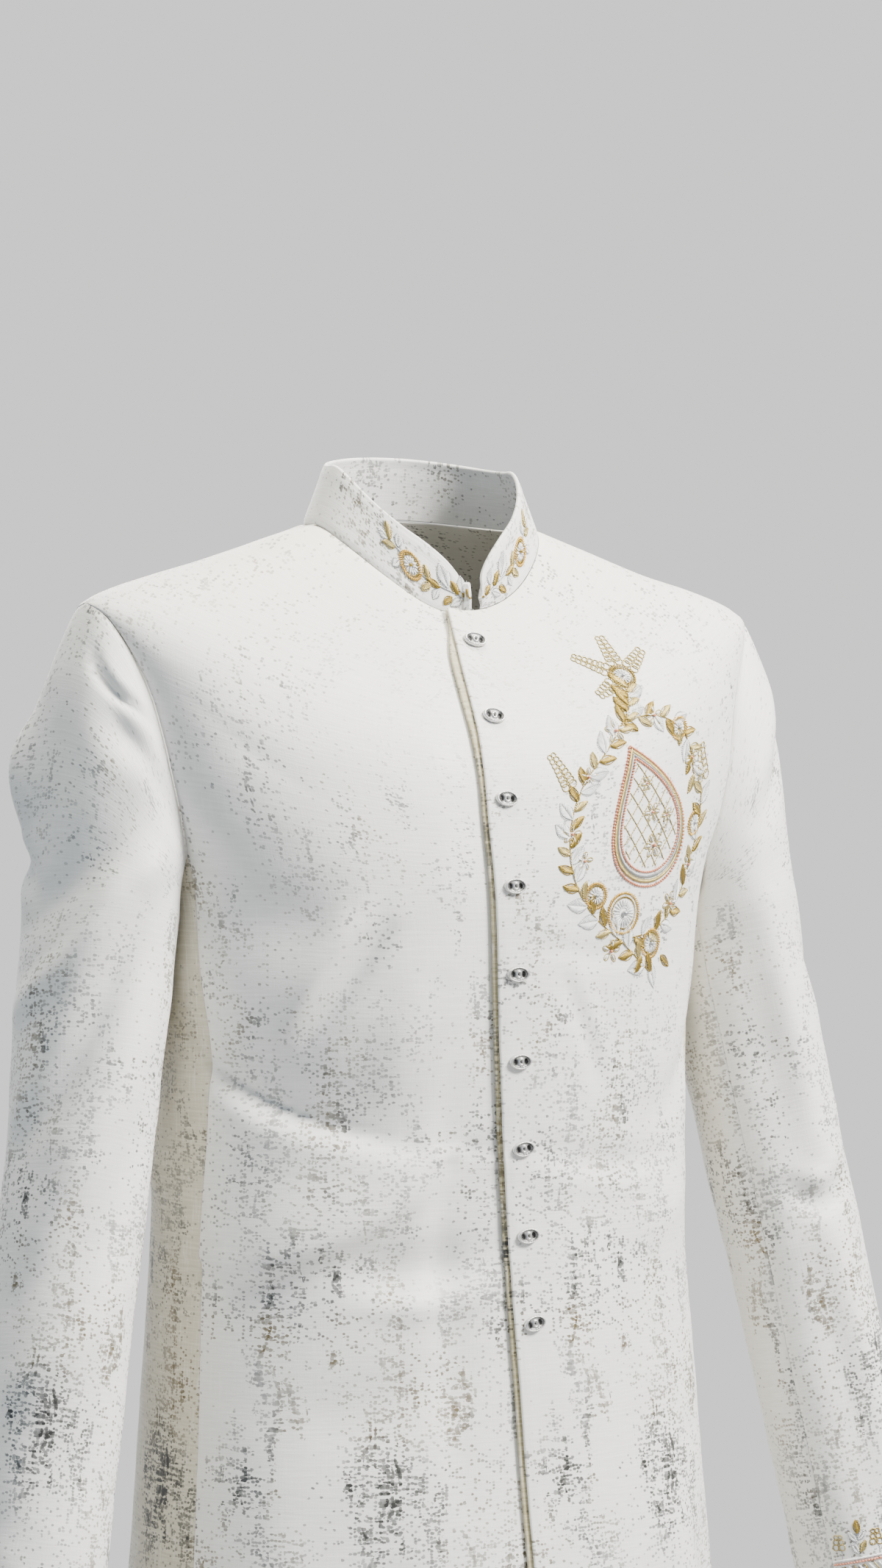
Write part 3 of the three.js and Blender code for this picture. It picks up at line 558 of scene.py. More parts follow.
def shell(name, points, normals, height, cloth_map, wall, edges):
    """A closed thin wall: the outer grid, the same grid set back, and a rounded rim between them."""
    away = edge_distance(points)
    ditch = 0.0
    for side, finish in edges.items():
        ditch = ditch + finish["ditch"] * np.exp(-((away[side] / finish["reach"]) ** 2))
        height = height + finish["ridge"] * np.exp(-(((away[side] - RIDGE_INSET) / RIDGE_REACH) ** 2))
    plain = points + normals * height[..., None]
    outer = plain - normals * ditch[..., None]
    out = grid_normals(plain)
    out = out * np.sign(np.sum(out * normals, -1, keepdims=True))
    inner = plain - out * wall
    rows, columns = points.shape[:2]
    ids = np.arange(rows * columns).reshape(rows, columns)
    loop = np.concatenate([ids[0, :-1], ids[:-1, -1], ids[-1, :0:-1], ids[:0:-1, 0]])
    roundness = [edges[side]["round"] for side in ("low", "far", "high", "near")]
    bulge = np.repeat(roundness, [columns - 1, rows - 1, columns - 1, rows - 1]) * wall
    flat = plain.reshape(-1, 3)
    inside = np.concatenate([ids[1, :-1], ids[:-1, -2], ids[-2, :0:-1], ids[:0:-1, 1]])
    outward = unit(flat[loop] - flat[inside])
    o, i = outer.reshape(-1, 3)[loop], inner.reshape(-1, 3)[loop]
    rim = []
    for angle in RIM_ANGLES:
        c, s = np.cos(np.radians(angle)), np.sin(np.radians(angle))
        rim.append((o + i) / 2 + (o - i) / 2 * c + outward * (bulge * s)[:, None])
    verts = np.concatenate([outer.reshape(-1, 3), inner.reshape(-1, 3)] + rim)
    total = rows * columns
    faces = np.stack([ids[:-1, :-1], ids[:-1, 1:], ids[1:, 1:], ids[1:, :-1]], -1).reshape(-1, 4)
    faces = [faces, faces[:, ::-1] + total]
    between = 2 * total + np.arange(len(rim) * len(loop)).reshape(len(rim), -1)
    rings = [loop, *between, loop + total]
    for upper, lower in zip(rings[:-1], rings[1:]):
        faces.append(np.stack([np.roll(upper, -1), upper, lower, np.roll(lower, -1)], -1))
    uv = cloth_map.reshape(-1, 2)
    uv = np.concatenate([uv, uv] + [uv[loop]] * len(rim))
    return cloth_mesh(name, verts * MM, np.concatenate(faces), uv * MM)


def smooth_piece(name, verts, faces):
    """A new object with its mesh at the origin."""
    mesh = bpy.data.meshes.new(name)
    mesh.from_pydata(verts.tolist(), [], faces)
    mesh.polygons.foreach_set("use_smooth", np.ones(len(mesh.polygons), bool))
    mesh.update()
    piece = bpy.data.objects.new(name, mesh)
    bpy.context.scene.collection.objects.link(piece)
    return piece


def cloth_mesh(name, verts, faces, uv):
    piece = smooth_piece(name, verts, faces.tolist())
    index = np.empty(len(piece.data.loops), int)
    piece.data.loops.foreach_get("vertex_index", index)
    layer = piece.data.uv_layers.new(name="cloth")
    layer.data.foreach_set("uv", uv[index].astype(np.float32).ravel())
    return piece


def cloth_lengths(surface, turn, station, grain_turn):
    """Cloth coordinates: across the grain from the grain line, and up along it, in millimetres."""
    turns = np.linspace(turn.min() - 1, turn.max() + 1, 160)
    stations = np.linspace(station.min() - 1, station.max() + 1, 200)
    grid = surface(*np.meshgrid(turns, stations, indexing="ij"))
    across = distance_run(grid, 0)
    grain = int(np.argmin(np.abs(turns - grain_turn)))
    across -= across[grain]
    up = distance_run(grid[grain]) + stations[0]
    i = (turn - turns[0]) / (turns[1] - turns[0])
    j = (station - stations[0]) / (stations[1] - stations[0])
    i0, j0 = i.astype(int), j.astype(int)
    fi, fj = i - i0, j - j0
    u = (
        across[i0, j0] * (1 - fi) * (1 - fj) + across[i0 + 1, j0] * fi * (1 - fj)
        + across[i0, j0 + 1] * (1 - fi) * fj + across[i0 + 1, j0 + 1] * fi * fj
    )
    return np.stack([u, np.interp(station, stations, up)], -1)


# ---------------------------------------------------------------- the jacket's body

def front_shift(side, point, station):
    past = point[..., 0] - torso_at["closing"](station)
    if side > 0:
        return FRONT_LIFT * (1 - ease(past, 15, 75))
    return -FRONT_LIFT * ease(past, -48, -OVERLAP - 3)


def body_height(side, turn, station, shifted):
    """How far the body's cloth stands off its plain form."""
    point, normal = torso_point(turn, station), torso_normal(turn, station)
    calm = 1 - ease(station, 640, 700)
    height = fold_height(point, normal, BODY_FOLDS, torso_point) * calm
    height = height + unevenness(point, 95, 0.35, 7) + unevenness(point, 34, 0.1, 8)
    if shifted:
        height = height + front_shift(side, point, station)
    return point, normal, height


def seam_inset(turn, station):
    reach = np.hypot(
        torso_at["half_width"](station) * np.cos(np.radians(turn)),
        torso_at["front"](station) * np.sin(np.radians(turn)),
    )
    return np.degrees(SEAM_GAP / 2 / reach)


def vent_opening(station):
    share = np.maximum(0, (VENT_TOP - station) / VENT_TOP)
    return np.degrees(VENT_SPREAD * share / TORSO["half_width"][0])


def outer_edge(key, seam_around):
    """The side seam, armhole and shoulder seam of a front or back: turn, station and the centre's station."""
    into = -1 if key == "front" else 1
    top = armhole_at["station"](seam_around)
    top_turn = armhole_at[key](seam_around)
    station = steps_along(top, 4.6)[:-6] * top
    turn = mix(seam_at[key](station), top_turn, ease(station, 420, top))
    vent = vent_opening(station) if key == "back" else 0
    turn = turn + into * (seam_inset(turn, station) + vent)
    around = np.linspace(seam_around, 0, 62)
    arm_turn, arm_station = armhole_at[key](around), armhole_at["station"](around)
    arm_turn[-1] += into * seam_inset(90, SHOULDER_STATION)
    up = steps_along(NECK_STATION - SHOULDER_STATION, 4.6)[6:]
    shoulder = SHOULDER_STATION + up * (NECK_STATION - SHOULDER_STATION)
    shoulder_turn = 90 + into * seam_inset(90, shoulder)
    armhole_rows, shoulder_rows = seam_around / 15, 3
    climb = np.concatenate([(seam_around - around) / 15, armhole_rows + shoulder_rows * up])
    climb = climb / (armhole_rows + shoulder_rows)
    centre = np.concatenate([station, mix(top, NECK_STATION, climb)])
    return (
        np.concatenate([turn, arm_turn, shoulder_turn]),
        np.concatenate([station, arm_station, shoulder]),
        centre,
    )


def panel_grid(edge, centre_turn, width, step):
    """Turns and stations of a front or back, from its centre line to its outer edge."""
    edge_turn, edge_station, centre_station = (part[:, None] for part in edge)
    share = steps_along(width, step)[None, :]
    start = centre_turn(centre_station)
    station = mix(centre_station, edge_station, share * share * (3 - 2 * share))
    from_centre = mix(start, centre_turn(station), share)
    return mix(from_centre, edge_turn, share), station


def front_grid(side):
    reach = -OVERLAP if side > 0 else UNDERLAP

    def free_edge(station):
        return side * turn_at_x(torso_at["closing"](station) + reach, station)

    return panel_grid(outer_edge("front", FRONT_SEAM_AROUND), free_edge, 240, 4.2)


def orient(side, *grids):
    """Grids in the order that keeps faces outward on either side of the body."""
    return grids if side > 0 else tuple(grid[:, ::-1] for grid in grids)


def make_front(name, side):
    turn, station = front_grid(side)
    turn, station = orient(side, side * turn, station)
    point, normal, height = body_height(side, turn, station, True)
    cloth = cloth_lengths(torso_point, turn, station, side * 30)
    open_side, seam_side = ("near", "far") if side > 0 else ("far", "near")
    edges = {"low": FREE_EDGE, "high": NECK_SEAM, seam_side: SEAM, open_side: FREE_EDGE}
    return shell(name, point, normal, height, cloth, JACKET_WALL, edges)


def make_back(name, side):
    edge = outer_edge("back", BACK_SEAM_AROUND)
    turn, station = panel_grid(edge, lambda s: 180 - seam_inset(0, s), 210, 4.6)
    turn, station = orient(-side, side * turn, station)
    point, normal, height = body_height(side, turn, station, False)
    cloth = cloth_lengths(torso_point, turn, station, side * 150)
    edges = {"low": FREE_EDGE, "high": NECK_SEAM, "near": SEAM, "far": SEAM}
    return shell(name, point, normal, height, cloth, JACKET_WALL, edges)


def make_side(name, side):
    width = 360 - BACK_SEAM_AROUND - FRONT_SEAM_AROUND
    share = steps_along(150, 4.5)[None, :]
    around = FRONT_SEAM_AROUND + width * share
    folded = np.where(around > 180, 360 - around, around)
    peak_turn = np.where(around > 180, armhole_at["back"](folded), armhole_at["front"](folded))
    peak_station = armhole_at["station"](folded)
    front_top, back_top = peak_station[0, 0], peak_station[0, -1]
    rise = steps_along(front_top, 4.6)[:, None]
    station = rise * mix(mix(front_top, back_top, share), peak_station, ease(rise, 0.55, 1))
    front_turn = mix(seam_at["front"](station), peak_turn[0, 0], ease(station, 420, front_top))
    back_turn = mix(seam_at["back"](station), peak_turn[0, -1], ease(station, 420, back_top))
    inset = seam_inset(90, station)
    low, high = front_turn + inset, back_turn - inset
    swing = peak_turn - mix(peak_turn[:, :1], peak_turn[:, -1:], share)
    turn = mix(low, high, share) + swing * ease(rise, 0.7, 1)
    turn, station = orient(side, side * turn, station)
    point, normal, height = body_height(side, turn, station, False)
    cloth = cloth_lengths(torso_point, turn, station, side * 92)
    edges = {"low": FREE_EDGE, "high": SEAM, "near": SEAM, "far": SEAM}
    return shell(name, point, normal, height, cloth, JACKET_WALL, edges)


def facing_peek(station):
    """How far the strip shows past the edge over it: most at the chest, and hardly at the neck."""
    at_chest = ease(station, 630, 735) * (1 - ease(station, 775, 840))
    at_hem = 1 - ease(station, 60, 300)
    below_neck = 1 - 0.9 * ease(station, 790, NECK_STATION - 12)
    return FACING_PEEK * (0.8 + 0.7 * at_chest + 0.2 * at_hem) * below_neck


def make_facing(name):
    """The strip under the left front's edge, which shows as a narrow second edge."""
    station = outer_edge("front", FRONT_SEAM_AROUND)[2][:, None]
    closing = torso_at["closing"](station)
    width = 42.0
    share = steps_along(width, 3.0)[None, :]
    past = mix(-OVERLAP - facing_peek(station), -OVERLAP + width, share)
    turn = turn_at_x(closing + past, station)
    station = np.broadcast_to(station, turn.shape)
    point, normal, height = body_height(1, turn, station, True)
    height = height - JACKET_WALL - SEAM_GAP
    cloth = cloth_lengths(torso_point, turn, station, 5)
    edges = {"low": FREE_EDGE, "high": NECK_SEAM, "near": FREE_EDGE, "far": SEAM}
    return shell(name, point, normal, height, cloth, FACING_WALL, edges)


# ---------------------------------------------------------------- collar

def collar_point(turn, rise):
    """A place on the stand collar: turn runs from its left end round the back to its right end plus 360."""
    turn, rise = np.broadcast_arrays(np.asarray(turn, float), np.asarray(rise, float))
    place = np.where(turn > 180, turn - 360, turn)
    foot = torso_point(place, NECK_STATION)
    lift = np.where(
        place >= 0,
        front_shift(1, foot, NECK_STATION),
        front_shift(-1, foot, NECK_STATION),
    ) * (np.abs(place) < 90)
    foot = foot + torso_normal(place, NECK_STATION) * lift[..., None]
    outward = unit(vec(foot[..., 0] / NECK_HALF_WIDTH ** 2, foot[..., 1] / NECK_HALF_DEPTH ** 2, 0.0))
    end_lean = np.where(foot[..., 1] < 0, COLLAR_FRONT_LEAN, COLLAR_BACK_LEAN)
    lean = mix(end_lean, COLLAR_SIDE_LEAN, np.sin(np.radians(turn)) ** 2)[..., None]
    up = np.array([0.0, 0.0, 1.0])
    rising = unit(up - lean * outward)
    height = COLLAR_HEIGHT * collar_share(turn)
    point = foot + rising * (SEAM_GAP + 0.15 + height * rise)[..., None]
    return point, unit(outward + lean * up)


def collar_ends():
    return (
        turn_at_x(COLLAR_LEFT_END, NECK_STATION),
        turn_at_x(COLLAR_RIGHT_END, NECK_STATION) + 360,
    )


def collar_share(turn):
    """The collar's height there as a share of its full height: its front ends are rounded off."""
    left, right = collar_ends()
    turns = np.linspace(left, right, 721)
    run = distance_run(torso_point(np.where(turns > 180, turns - 360, turns), NECK_STATION))
    at = np.interp(turn, turns, run)
    corner = np.minimum(np.minimum(at, run[-1] - at) / COLLAR_CORNER, 1)
    start = np.where(at < run[-1] / 2, COLLAR_LEFT_START, COLLAR_RIGHT_START)
    return mix(start, 1, np.sqrt(1 - (1 - corner) ** 2))


def make_collar(name):
    left, right = collar_ends()
    girth = 440.0
    corner_steps = (0.4, 0.9, 1.6, 2.6, 4.0, 6.0, 8.5, 11.5)
    turn = mix(left, right, steps_along(girth, 2.6, corner_steps)[None, :])
    rise = steps_along(COLLAR_HEIGHT, 2.4, (0.7, 1.5, 2.5, 4.0))[:, None]
    turn, rise = np.broadcast_arrays(turn, rise)
    point, normal = collar_point(turn, rise)
    height = unevenness(point, 60, 0.15, 11)
    cloth = vec(distance_run(point[0])[None, :], 400 + rise * COLLAR_HEIGHT, 0.0)[..., :2]
    edges = {"low": NECK_SEAM, "high": FREE_EDGE, "near": FREE_EDGE, "far": FREE_EDGE}
    return shell(name, point, normal, height, cloth, COLLAR_WALL, edges)


# ---------------------------------------------------------------- sleeves

def arm_point(around, down):
    """A place on the plain arm and the arm's direction there, for the wearer's left."""
    around, down = np.broadcast_arrays(np.asarray(around, float), np.asarray(down, float))
    centre = vec(*(sleeve_at[key](down) for key in "xyz"))
    middle = np.clip(down, AXIS_REACH, SLEEVE_LENGTH - AXIS_REACH)
    ahead = vec(*(sleeve_at[key](middle + AXIS_REACH) for key in "xyz"))
    behind = vec(*(sleeve_at[key](middle - AXIS_REACH) for key in "xyz"))
    axis = unit(ahead - behind)
    out = unit(np.array([1.0, 0, 0]) - axis * axis[..., :1])
    front = np.cross(axis, out)
    c, s = np.cos(np.radians(around)), np.sin(np.radians(around))
    across = (sleeve_at["across"](down) * c)[..., None]
    deep = (sleeve_at["deep"](down) * s)[..., None]
    return centre + out * across + front * deep, axis


def armhole_point(name, around):
    """The armhole's edge as the creased body leaves it, on the wearer's left."""
    on_back = (around > 180) | (around < 0)
    folded = np.where(around < 0, -around, np.where(around > 180, 360 - around, around))
    turn = np.where(on_back, armhole_at["back"](folded), armhole_at["front"](folded))
    station = armhole_at["station"](folded)
    side = 1 if name == "left" else -1
    _, _, height = body_height(side, side * turn, station, False)
    return torso_point(turn, station) + torso_normal(turn, station) * height[..., None]


def cap_direction(around):
    open_share = 1 - ((1 - np.cos(np.radians(around))) / 2) ** 2
    return unit(vec(
        mix(0.5, 0.42, open_share),
        -0.4 * np.sin(np.radians(around)),
        mix(-0.85, -0.8, open_share),
    ))


def sleeve_base(name, around, down):
    """A place on the sleeve before its folds; a minus down lies in the cap, which ends at the armhole."""
    around, down = np.broadcast_arrays(np.asarray(around, float), np.asarray(down, float))
    on_arm, _ = arm_point(around, np.maximum(down, 0))
    t = np.clip(1 + down / CAP_DEPTH, 0, 1)[..., None]
    start = armhole_point(name, around)
    end, axis = arm_point(around, np.zeros_like(down))
    chord = np.linalg.norm(end - start, axis=-1, keepdims=True)
    in_cap = (
        (2 * t ** 3 - 3 * t ** 2 + 1) * start
        + (t ** 3 - 2 * t ** 2 + t) * chord * 1.15 * cap_direction(around)
        + (3 * t ** 2 - 2 * t ** 3) * end
        + (t ** 3 - t ** 2) * chord * 1.1 * axis
    )
    return np.where((down >= 0)[..., None], on_arm, in_cap)


def clear_of_body(point, gap):
    """Keeps the sleeve's inner side clear of the body beside it."""
    station = np.clip(point[..., 2] - TORSO["side_z"][0], 0, 520)
    middle = torso_at["middle"](station)
    depth = np.where(point[..., 1] < middle, torso_at["front"](station), torso_at["back"](station))
    square = torso_at["square"](station)
    share = np.minimum(np.abs(point[..., 1] - middle) / depth, 1)
    side = torso_at["half_width"](station) * (1 - share ** square) ** (1 / square)
    blend = 1 - ease(point[..., 2], -240, -215)
    wanted = side + gap
    moved = point.copy()
    moved[..., 0] = np.where(point[..., 0] < wanted, mix(point[..., 0], wanted, blend), point[..., 0])
    return moved


def sleeve_surface(name, around, down):
    """A place on the finished sleeve and its way out, on the wearer's left."""
    def base(a, b):
        return sleeve_base(name, a, b)

    normal = normal_of(base, around, down, 2, 3)
    point = base(around, down)
    away = ease(down, -CAP_DEPTH, -CAP_DEPTH + 45)
    height = fold_height(point, normal, SLEEVE_FOLDS[name], base) * away
    height = height + (unevenness(point, 80, 0.4, 21) + unevenness(point, 30, 0.12, 22)) * away
    off_seam = SEAM_GAP * (1 - ease(down, -CAP_DEPTH, -CAP_DEPTH + 12))
    point = point + cap_direction(around) * off_seam[..., None]
    return clear_of_body(point + normal * height[..., None], SLEEVE_BODY_CLEARANCE), normal


def make_sleeve(name, side_name, side, start, end):
    length = CAP_DEPTH + SLEEVE_LENGTH
    down = (steps_along(length, 4.2) * length - CAP_DEPTH)[:, None]
    span = (end - start) * 0.86
    around = mix(start + 0.2, end - 0.2, steps_along(span, 4.2)[None, :])
    around, down = np.broadcast_arrays(around, down)
    point, normal = sleeve_surface(side_name, around, down)
    girth = np.radians(around - (start + end) / 2) * 50
    cloth = np.stack([girth, 465 - down], -1)
    point, normal = point * [side, 1, 1], normal * [side, 1, 1]
    point, normal, cloth = orient(side, point, normal, cloth)
    edges = {"low": SLEEVE_SEAM, "high": FREE_EDGE, "near": SLEEVE_SEAM, "far": SLEEVE_SEAM}
    return shell(name, point, normal, np.zeros(point.shape[:2]), cloth, SLEEVE_WALL, edges)


# ---------------------------------------------------------------- trousers

def trouser_point(half, share, z):
    """A place on the wearer's left trousers: share runs from the centre or inside leg to the outside."""
    share, z = np.broadcast_arrays(np.asarray(share, float), np.asarray(z, float))
    turn = 90 * share if half == "front" else 180 - 90 * share
    hip_x, hip_y = oval(hips_at, z, turn)
    angle = np.pi * (1 - share)
    deep = leg_at["deep"](z) * (-1 if half == "front" else 1)
    leg_x = leg_at["x"](z) + leg_at["across"](z) * np.cos(angle)
    leg_y = leg_at["y"](z) + deep * np.sin(angle)
    below = 1 - ease(z, CROTCH_END, CROTCH_START)
    return vec(np.maximum(mix(hip_x, leg_x, below), SEAM_GAP / 2), mix(hip_y, leg_y, below), z)


def make_trouser_panel(name, side, half):
    length = TROUSER_TOP - SEAM_GAP - TROUSER_HEM
    z = (TROUSER_HEM + steps_along(length, 7.5) * length)[:, None]
    inset = 0.0006
    share = mix(inset, 1 - inset, steps_along(TROUSER_PANEL_WIDTH, 6.5)[None, :])
    share, z = np.broadcast_arrays(share, z)
    facing = 1 if half == "front" else -1

    def surface(a, b):
        return trouser_point(half, a, b)

    point = surface(share, z)
    normal = normal_of(surface, share, z, 0.02 * facing, 4)
    height = fold_height(point, normal, TROUSER_FOLDS, surface) * (1 - ease(z, -760, -700))
    crease = np.exp(-(((share - 0.52) * TROUSER_PANEL_WIDTH / 3.2) ** 2)) * 2.2
    height = height + crease * (1 - ease(z, -820, -640)) + unevenness(point, 90, 0.4, 31)
    cloth = np.stack([share * TROUSER_PANEL_WIDTH, z], -1)
    point, normal = point * [side, 1, 1], normal * [side, 1, 1]
    point, normal, cloth, height = orient(facing * side, point, normal, cloth, height)
    edges = {"low": FREE_EDGE, "high": SLEEVE_SEAM, "near": SLEEVE_SEAM, "far": SLEEVE_SEAM}
    return shell(name, point, normal, height, cloth, TROUSER_WALL, edges)


def make_waistband(name):
    turn = mix(0.08, 359.92, steps_along(800, 6)[None, :])
    height = WAISTBAND_TOP - TROUSER_TOP
    z = (TROUSER_TOP + steps_along(height, 4, (0.7, 1.5, 2.5)) * height)[:, None]
    turn, z = np.broadcast_arrays(turn, z)

    def surface(a, b):
        x, y = oval(hips_at, TROUSER_TOP + 0 * b, np.where(a > 180, a - 360, a))
        return vec(x, y, b)

    point = surface(turn, z)
    normal = normal_of(surface, turn, z, 1, 3)
    cloth = np.stack([turn * 2.2, z], -1)
    edges = {"low": SLEEVE_SEAM, "high": FREE_EDGE, "near": FREE_EDGE, "far": FREE_EDGE}
    return shell(name, point, normal, unevenness(point, 70, 0.2, 33), cloth, JACKET_WALL, edges)


# ---------------------------------------------------------------- materials

class Wire:
    """A shader socket that takes part in Python arithmetic."""

    def __init__(self, board, socket):
        self.board, self.socket = board, socket

    def maths(self, operation, first, second=0.0):
        return self.board.node("ShaderNodeMath", {"operation": operation}, {0: first, 1: second})

    def __add__(self, other):
        return self.maths("ADD", self, other)

    def __sub__(self, other):
        return self.maths("SUBTRACT", self, other)

    def __rsub__(self, other):
        return self.maths("SUBTRACT", other, self)

    def __mul__(self, other):
        return self.maths("MULTIPLY", self, other)

    def __lt__(self, other):
        return self.maths("LESS_THAN", self, other)

    __radd__ = __add__
    __rmul__ = __mul__

    def between(self, low, high):
        return self.board.node("ShaderNodeMapRange", {"interpolation_type": "SMOOTHSTEP"},
                               {"Value": self, "From Min": low, "From Max": high})


class Board:
    """The node tree of one material."""

    def __init__(self, name, tree=None):
        if tree is None:
            self.material = bpy.data.materials.new(name)
            self.material.use_nodes = True
            tree = self.material.node_tree
        self.tree = tree
        self.tree.nodes.clear()

    def node(self, kind, settings=None, inputs=None, output=0):
        made = self.tree.nodes.new(kind)
        for key, value in (settings or {}).items():
            setattr(made, key, value)
        for key, value in (inputs or {}).items():
            if isinstance(value, Wire):
                self.tree.links.new(value.socket, made.inputs[key])
            else:
                made.inputs[key].default_value = value
        return Wire(self, made.outputs[output])

    def vector(self, x, y, z=0.0):
        return self.node("ShaderNodeCombineXYZ", None, {0: x, 1: y, 2: z})

    def part(self, whole, index, kind="ShaderNodeSeparateXYZ"):
        """One part of a vector, or of a colour."""
        return self.node(kind, None, {0: whole}, index)

    def attribute(self, name, output):
        return self.node("ShaderNodeAttribute", {"attribute_name": name}, None, output)

    def object_place(self):
        return self.node("ShaderNodeTexCoord", None, None, 3)

    def cloth_place(self):
        """Millimetres across the cloth's grain, and up along it."""
        place = self.node("ShaderNodeUVMap", {"uv_map": "cloth"})
        return self.part(place, 0) * 1000.0, self.part(place, 1) * 1000.0

    def noise(self, vector, scale=1.0, detail=2.0, roughness=0.5):
        return self.node("ShaderNodeTexNoise", None, {
            "Vector": vector, "Scale": scale, "Detail": detail, "Roughness": roughness,
        })

    def blend(self, factor, first, second):
        return self.node("ShaderNodeMix", {"data_type": "RGBA"}, {0: factor, 6: first, 7: second}, 2)

    def bump(self, height, distance, strength=1.0, under=None):
        inputs = {"Height": height, "Distance": distance, "Strength": strength}
        if under is not None:
            inputs["Normal"] = under
        return self.node("ShaderNodeBump", None, inputs)

    def finish(self, **inputs):
        named = {key.replace("_", " "): value for key, value in inputs.items()}
        surface = self.node("ShaderNodeBsdfPrincipled", None, named)
        output = self.tree.nodes.new("ShaderNodeOutputMaterial")
        self.tree.links.new(surface.socket, output.inputs["Surface"])
        return self.material


IVORY = (0.865, 0.853, 0.82, 1)
IVORY_SHADE = (0.80, 0.787, 0.752, 1)
# painted warm light: a cream tint laid on the upper cloth, where warm light falls on the shoulders and chest
PAINTED_WARM_LIGHT_CREAM = (0.90, 0.86, 0.735, 1)
PEARL = (0.92, 0.905, 0.86, 1)
# painted shade: the straw colours are a darker, warmer ivory for the side panels, standing in for the warm shade
# between arm and body
PAINTED_SHADE_STRAW = (0.70, 0.655, 0.53, 1)
PAINTED_SHADE_STRAW_DARK = (0.60, 0.555, 0.43, 1)
# painted shade: the flax colours are a dark brown-gold ivory for the facing, standing in for the shade beside the left
# front's edge
PAINTED_SHADE_FLAX = (0.54, 0.48, 0.31, 1)
PAINTED_SHADE_FLAX_DARK = (0.38, 0.33, 0.19, 1)
WORN_SILVER = (0.060, 0.060, 0.056, 1)
WORN_GOLD = (0.16, 0.12, 0.055, 1)


def brocade_cloth(name, light, shade, crowding=1.0):
    """Brocade: fine cross slubs, and worn metal specks woven in broken upright streaks."""
    board = Board(name)
    u, v = board.cloth_place()

    def woven(width, height, detail=2.0, shift=0.0):
        """Noise with grains of a width and height in millimetres."""
        return board.noise(board.vector(u * (1 / width) + shift, v * (1 / height) + shift), 1, detail, 0.55)

    slub, warp = woven(24, 1.5), woven(1.3, 26)
    fine = woven(0.9, 0.8, 1)
    wobble = woven(30, 30, 1, 5.0) * 3.0
    streak = board.noise(board.vector(u * (1 / 7) + wobble, v * (1 / 60) + 3.0), 1, 3, 0.6).between(0.5, 0.66)
    patch = woven(36, 64, 3, 11.0).between(0.43, 0.58)
    rows = woven(18, 3.6, 1, 17.0).between(0.4, 0.58)
    thinning = woven(120, 160, 1, 23.0)
    low = 1 - v.between(150.0, 640.0)
    amount = (low * 0.55 + 0.45) * crowding
    crowd = patch * (streak * 0.7 + 0.3) * (rows * 0.8 + 0.2) * amount
    density = crowd * 2.1 + (low * 0.15 + 0.045) * thinning.between(0.3, 0.6)
    cells = {"voronoi_dimensions": "2D", "feature": "F1"}
    grid = {"Vector": board.vector(u * (1 / 2.5), v * (1 / 1.8)), "Scale": 1.0, "Randomness": 0.85}
    distance = board.node("ShaderNodeTexVoronoi", cells, grid, 0)
    lot = board.node("ShaderNodeTexVoronoi", cells, grid, 1)
    chance, size, wear = (board.part(lot, index, "ShaderNodeSeparateColor") for index in range(3))
    size = size * 0.18 + 0.32 + density * 0.18
    dot = (size - distance + fine * 0.14).between(0.02, 0.16)
    speck = (chance < density) * dot
    fresh = woven(60, 60, 1, 41.0).between(0.4, 0.6)
    mark = speck * (wear * 0.34 + crowd * 0.34 + 0.34 + low * 0.14) * (fresh * 0.3 + 0.7)
    metal = board.blend(woven(50, 90, 1, 31.0).between(0.48, 0.62), WORN_SILVER, WORN_GOLD)
    ground = board.blend(slub.between(0.35, 0.7), shade, light)
    ground = board.blend(warp.between(0.5, 0.8) * 0.5, ground, PEARL)
    # painted warm light: the cloth turns cream towards the top, in random patches
    ground = board.blend(v.between(600.0, 840.0) * thinning.between(0.25, 0.6) * 0.75, ground, PAINTED_WARM_LIGHT_CREAM)
    relief = board.bump(slub * 0.6 + warp * 0.35 + fine * 0.3, 0.0004, 0.5)
    relief = board.bump(speck, 0.0002, 0.3, relief)
    return board.finish(
        Base_Color=board.blend(mark, ground, metal),
        Roughness=0.6 - mark * 0.2 - slub * 0.08,
        Metallic=mark * 0.35,
        Normal=relief,
        Sheen_Weight=0.2,
        Sheen_Roughness=0.4,
        Specular_IOR_Level=0.4,
    )


def plain_cloth(name, light, dark):
    """Plain suiting: a fine even twill."""
    board = Board(name)
    u, v = board.cloth_place()
    twill = board.noise(board.vector((u + v) * (1 / 1.1), (u - v) * (1 / 6)), 1, 1, 0.5)
    cross = board.noise(board.vector(u * (1 / 14), v * (1 / 1.6)), 1, 2, 0.6)
    patch = board.noise(board.vector(u * (1 / 60), v * (1 / 60)), 1, 2, 0.5)
    colour = board.blend(twill.between(0.3, 0.7) * 0.6 + patch * 0.4, dark, light)
    relief = board.bump(twill * 0.7 + cross * 0.4, 0.0003, 0.6)
    return board.finish(
        Base_Color=colour, Roughness=0.78 - cross * 0.1, Normal=relief, Sheen_Weight=0.2, Sheen_Roughness=0.5,
    )


# ---------------------------------------------------------------- buttons

BUTTON_HALF = np.array([7.6, 4.8])
BUTTON_TILTS = (-12, -12, -5, 0, 0, 2, 8, 6, 14)
BUTTON_BACK = 0.4


def button_stations():
    """Stations of the buttons, a fixed length of cloth apart down the button line."""
    station = np.arange(NECK_STATION, 0, -1.0)
    point, normal, height = body_height(1, turn_at_x(torso_at["closing"](station), station), station, True)
    run = distance_run(point + normal * height[:, None])
    return np.interp(FIRST_BUTTON_DROP + BUTTON_PITCH * np.arange(BUTTON_COUNT), run, station)


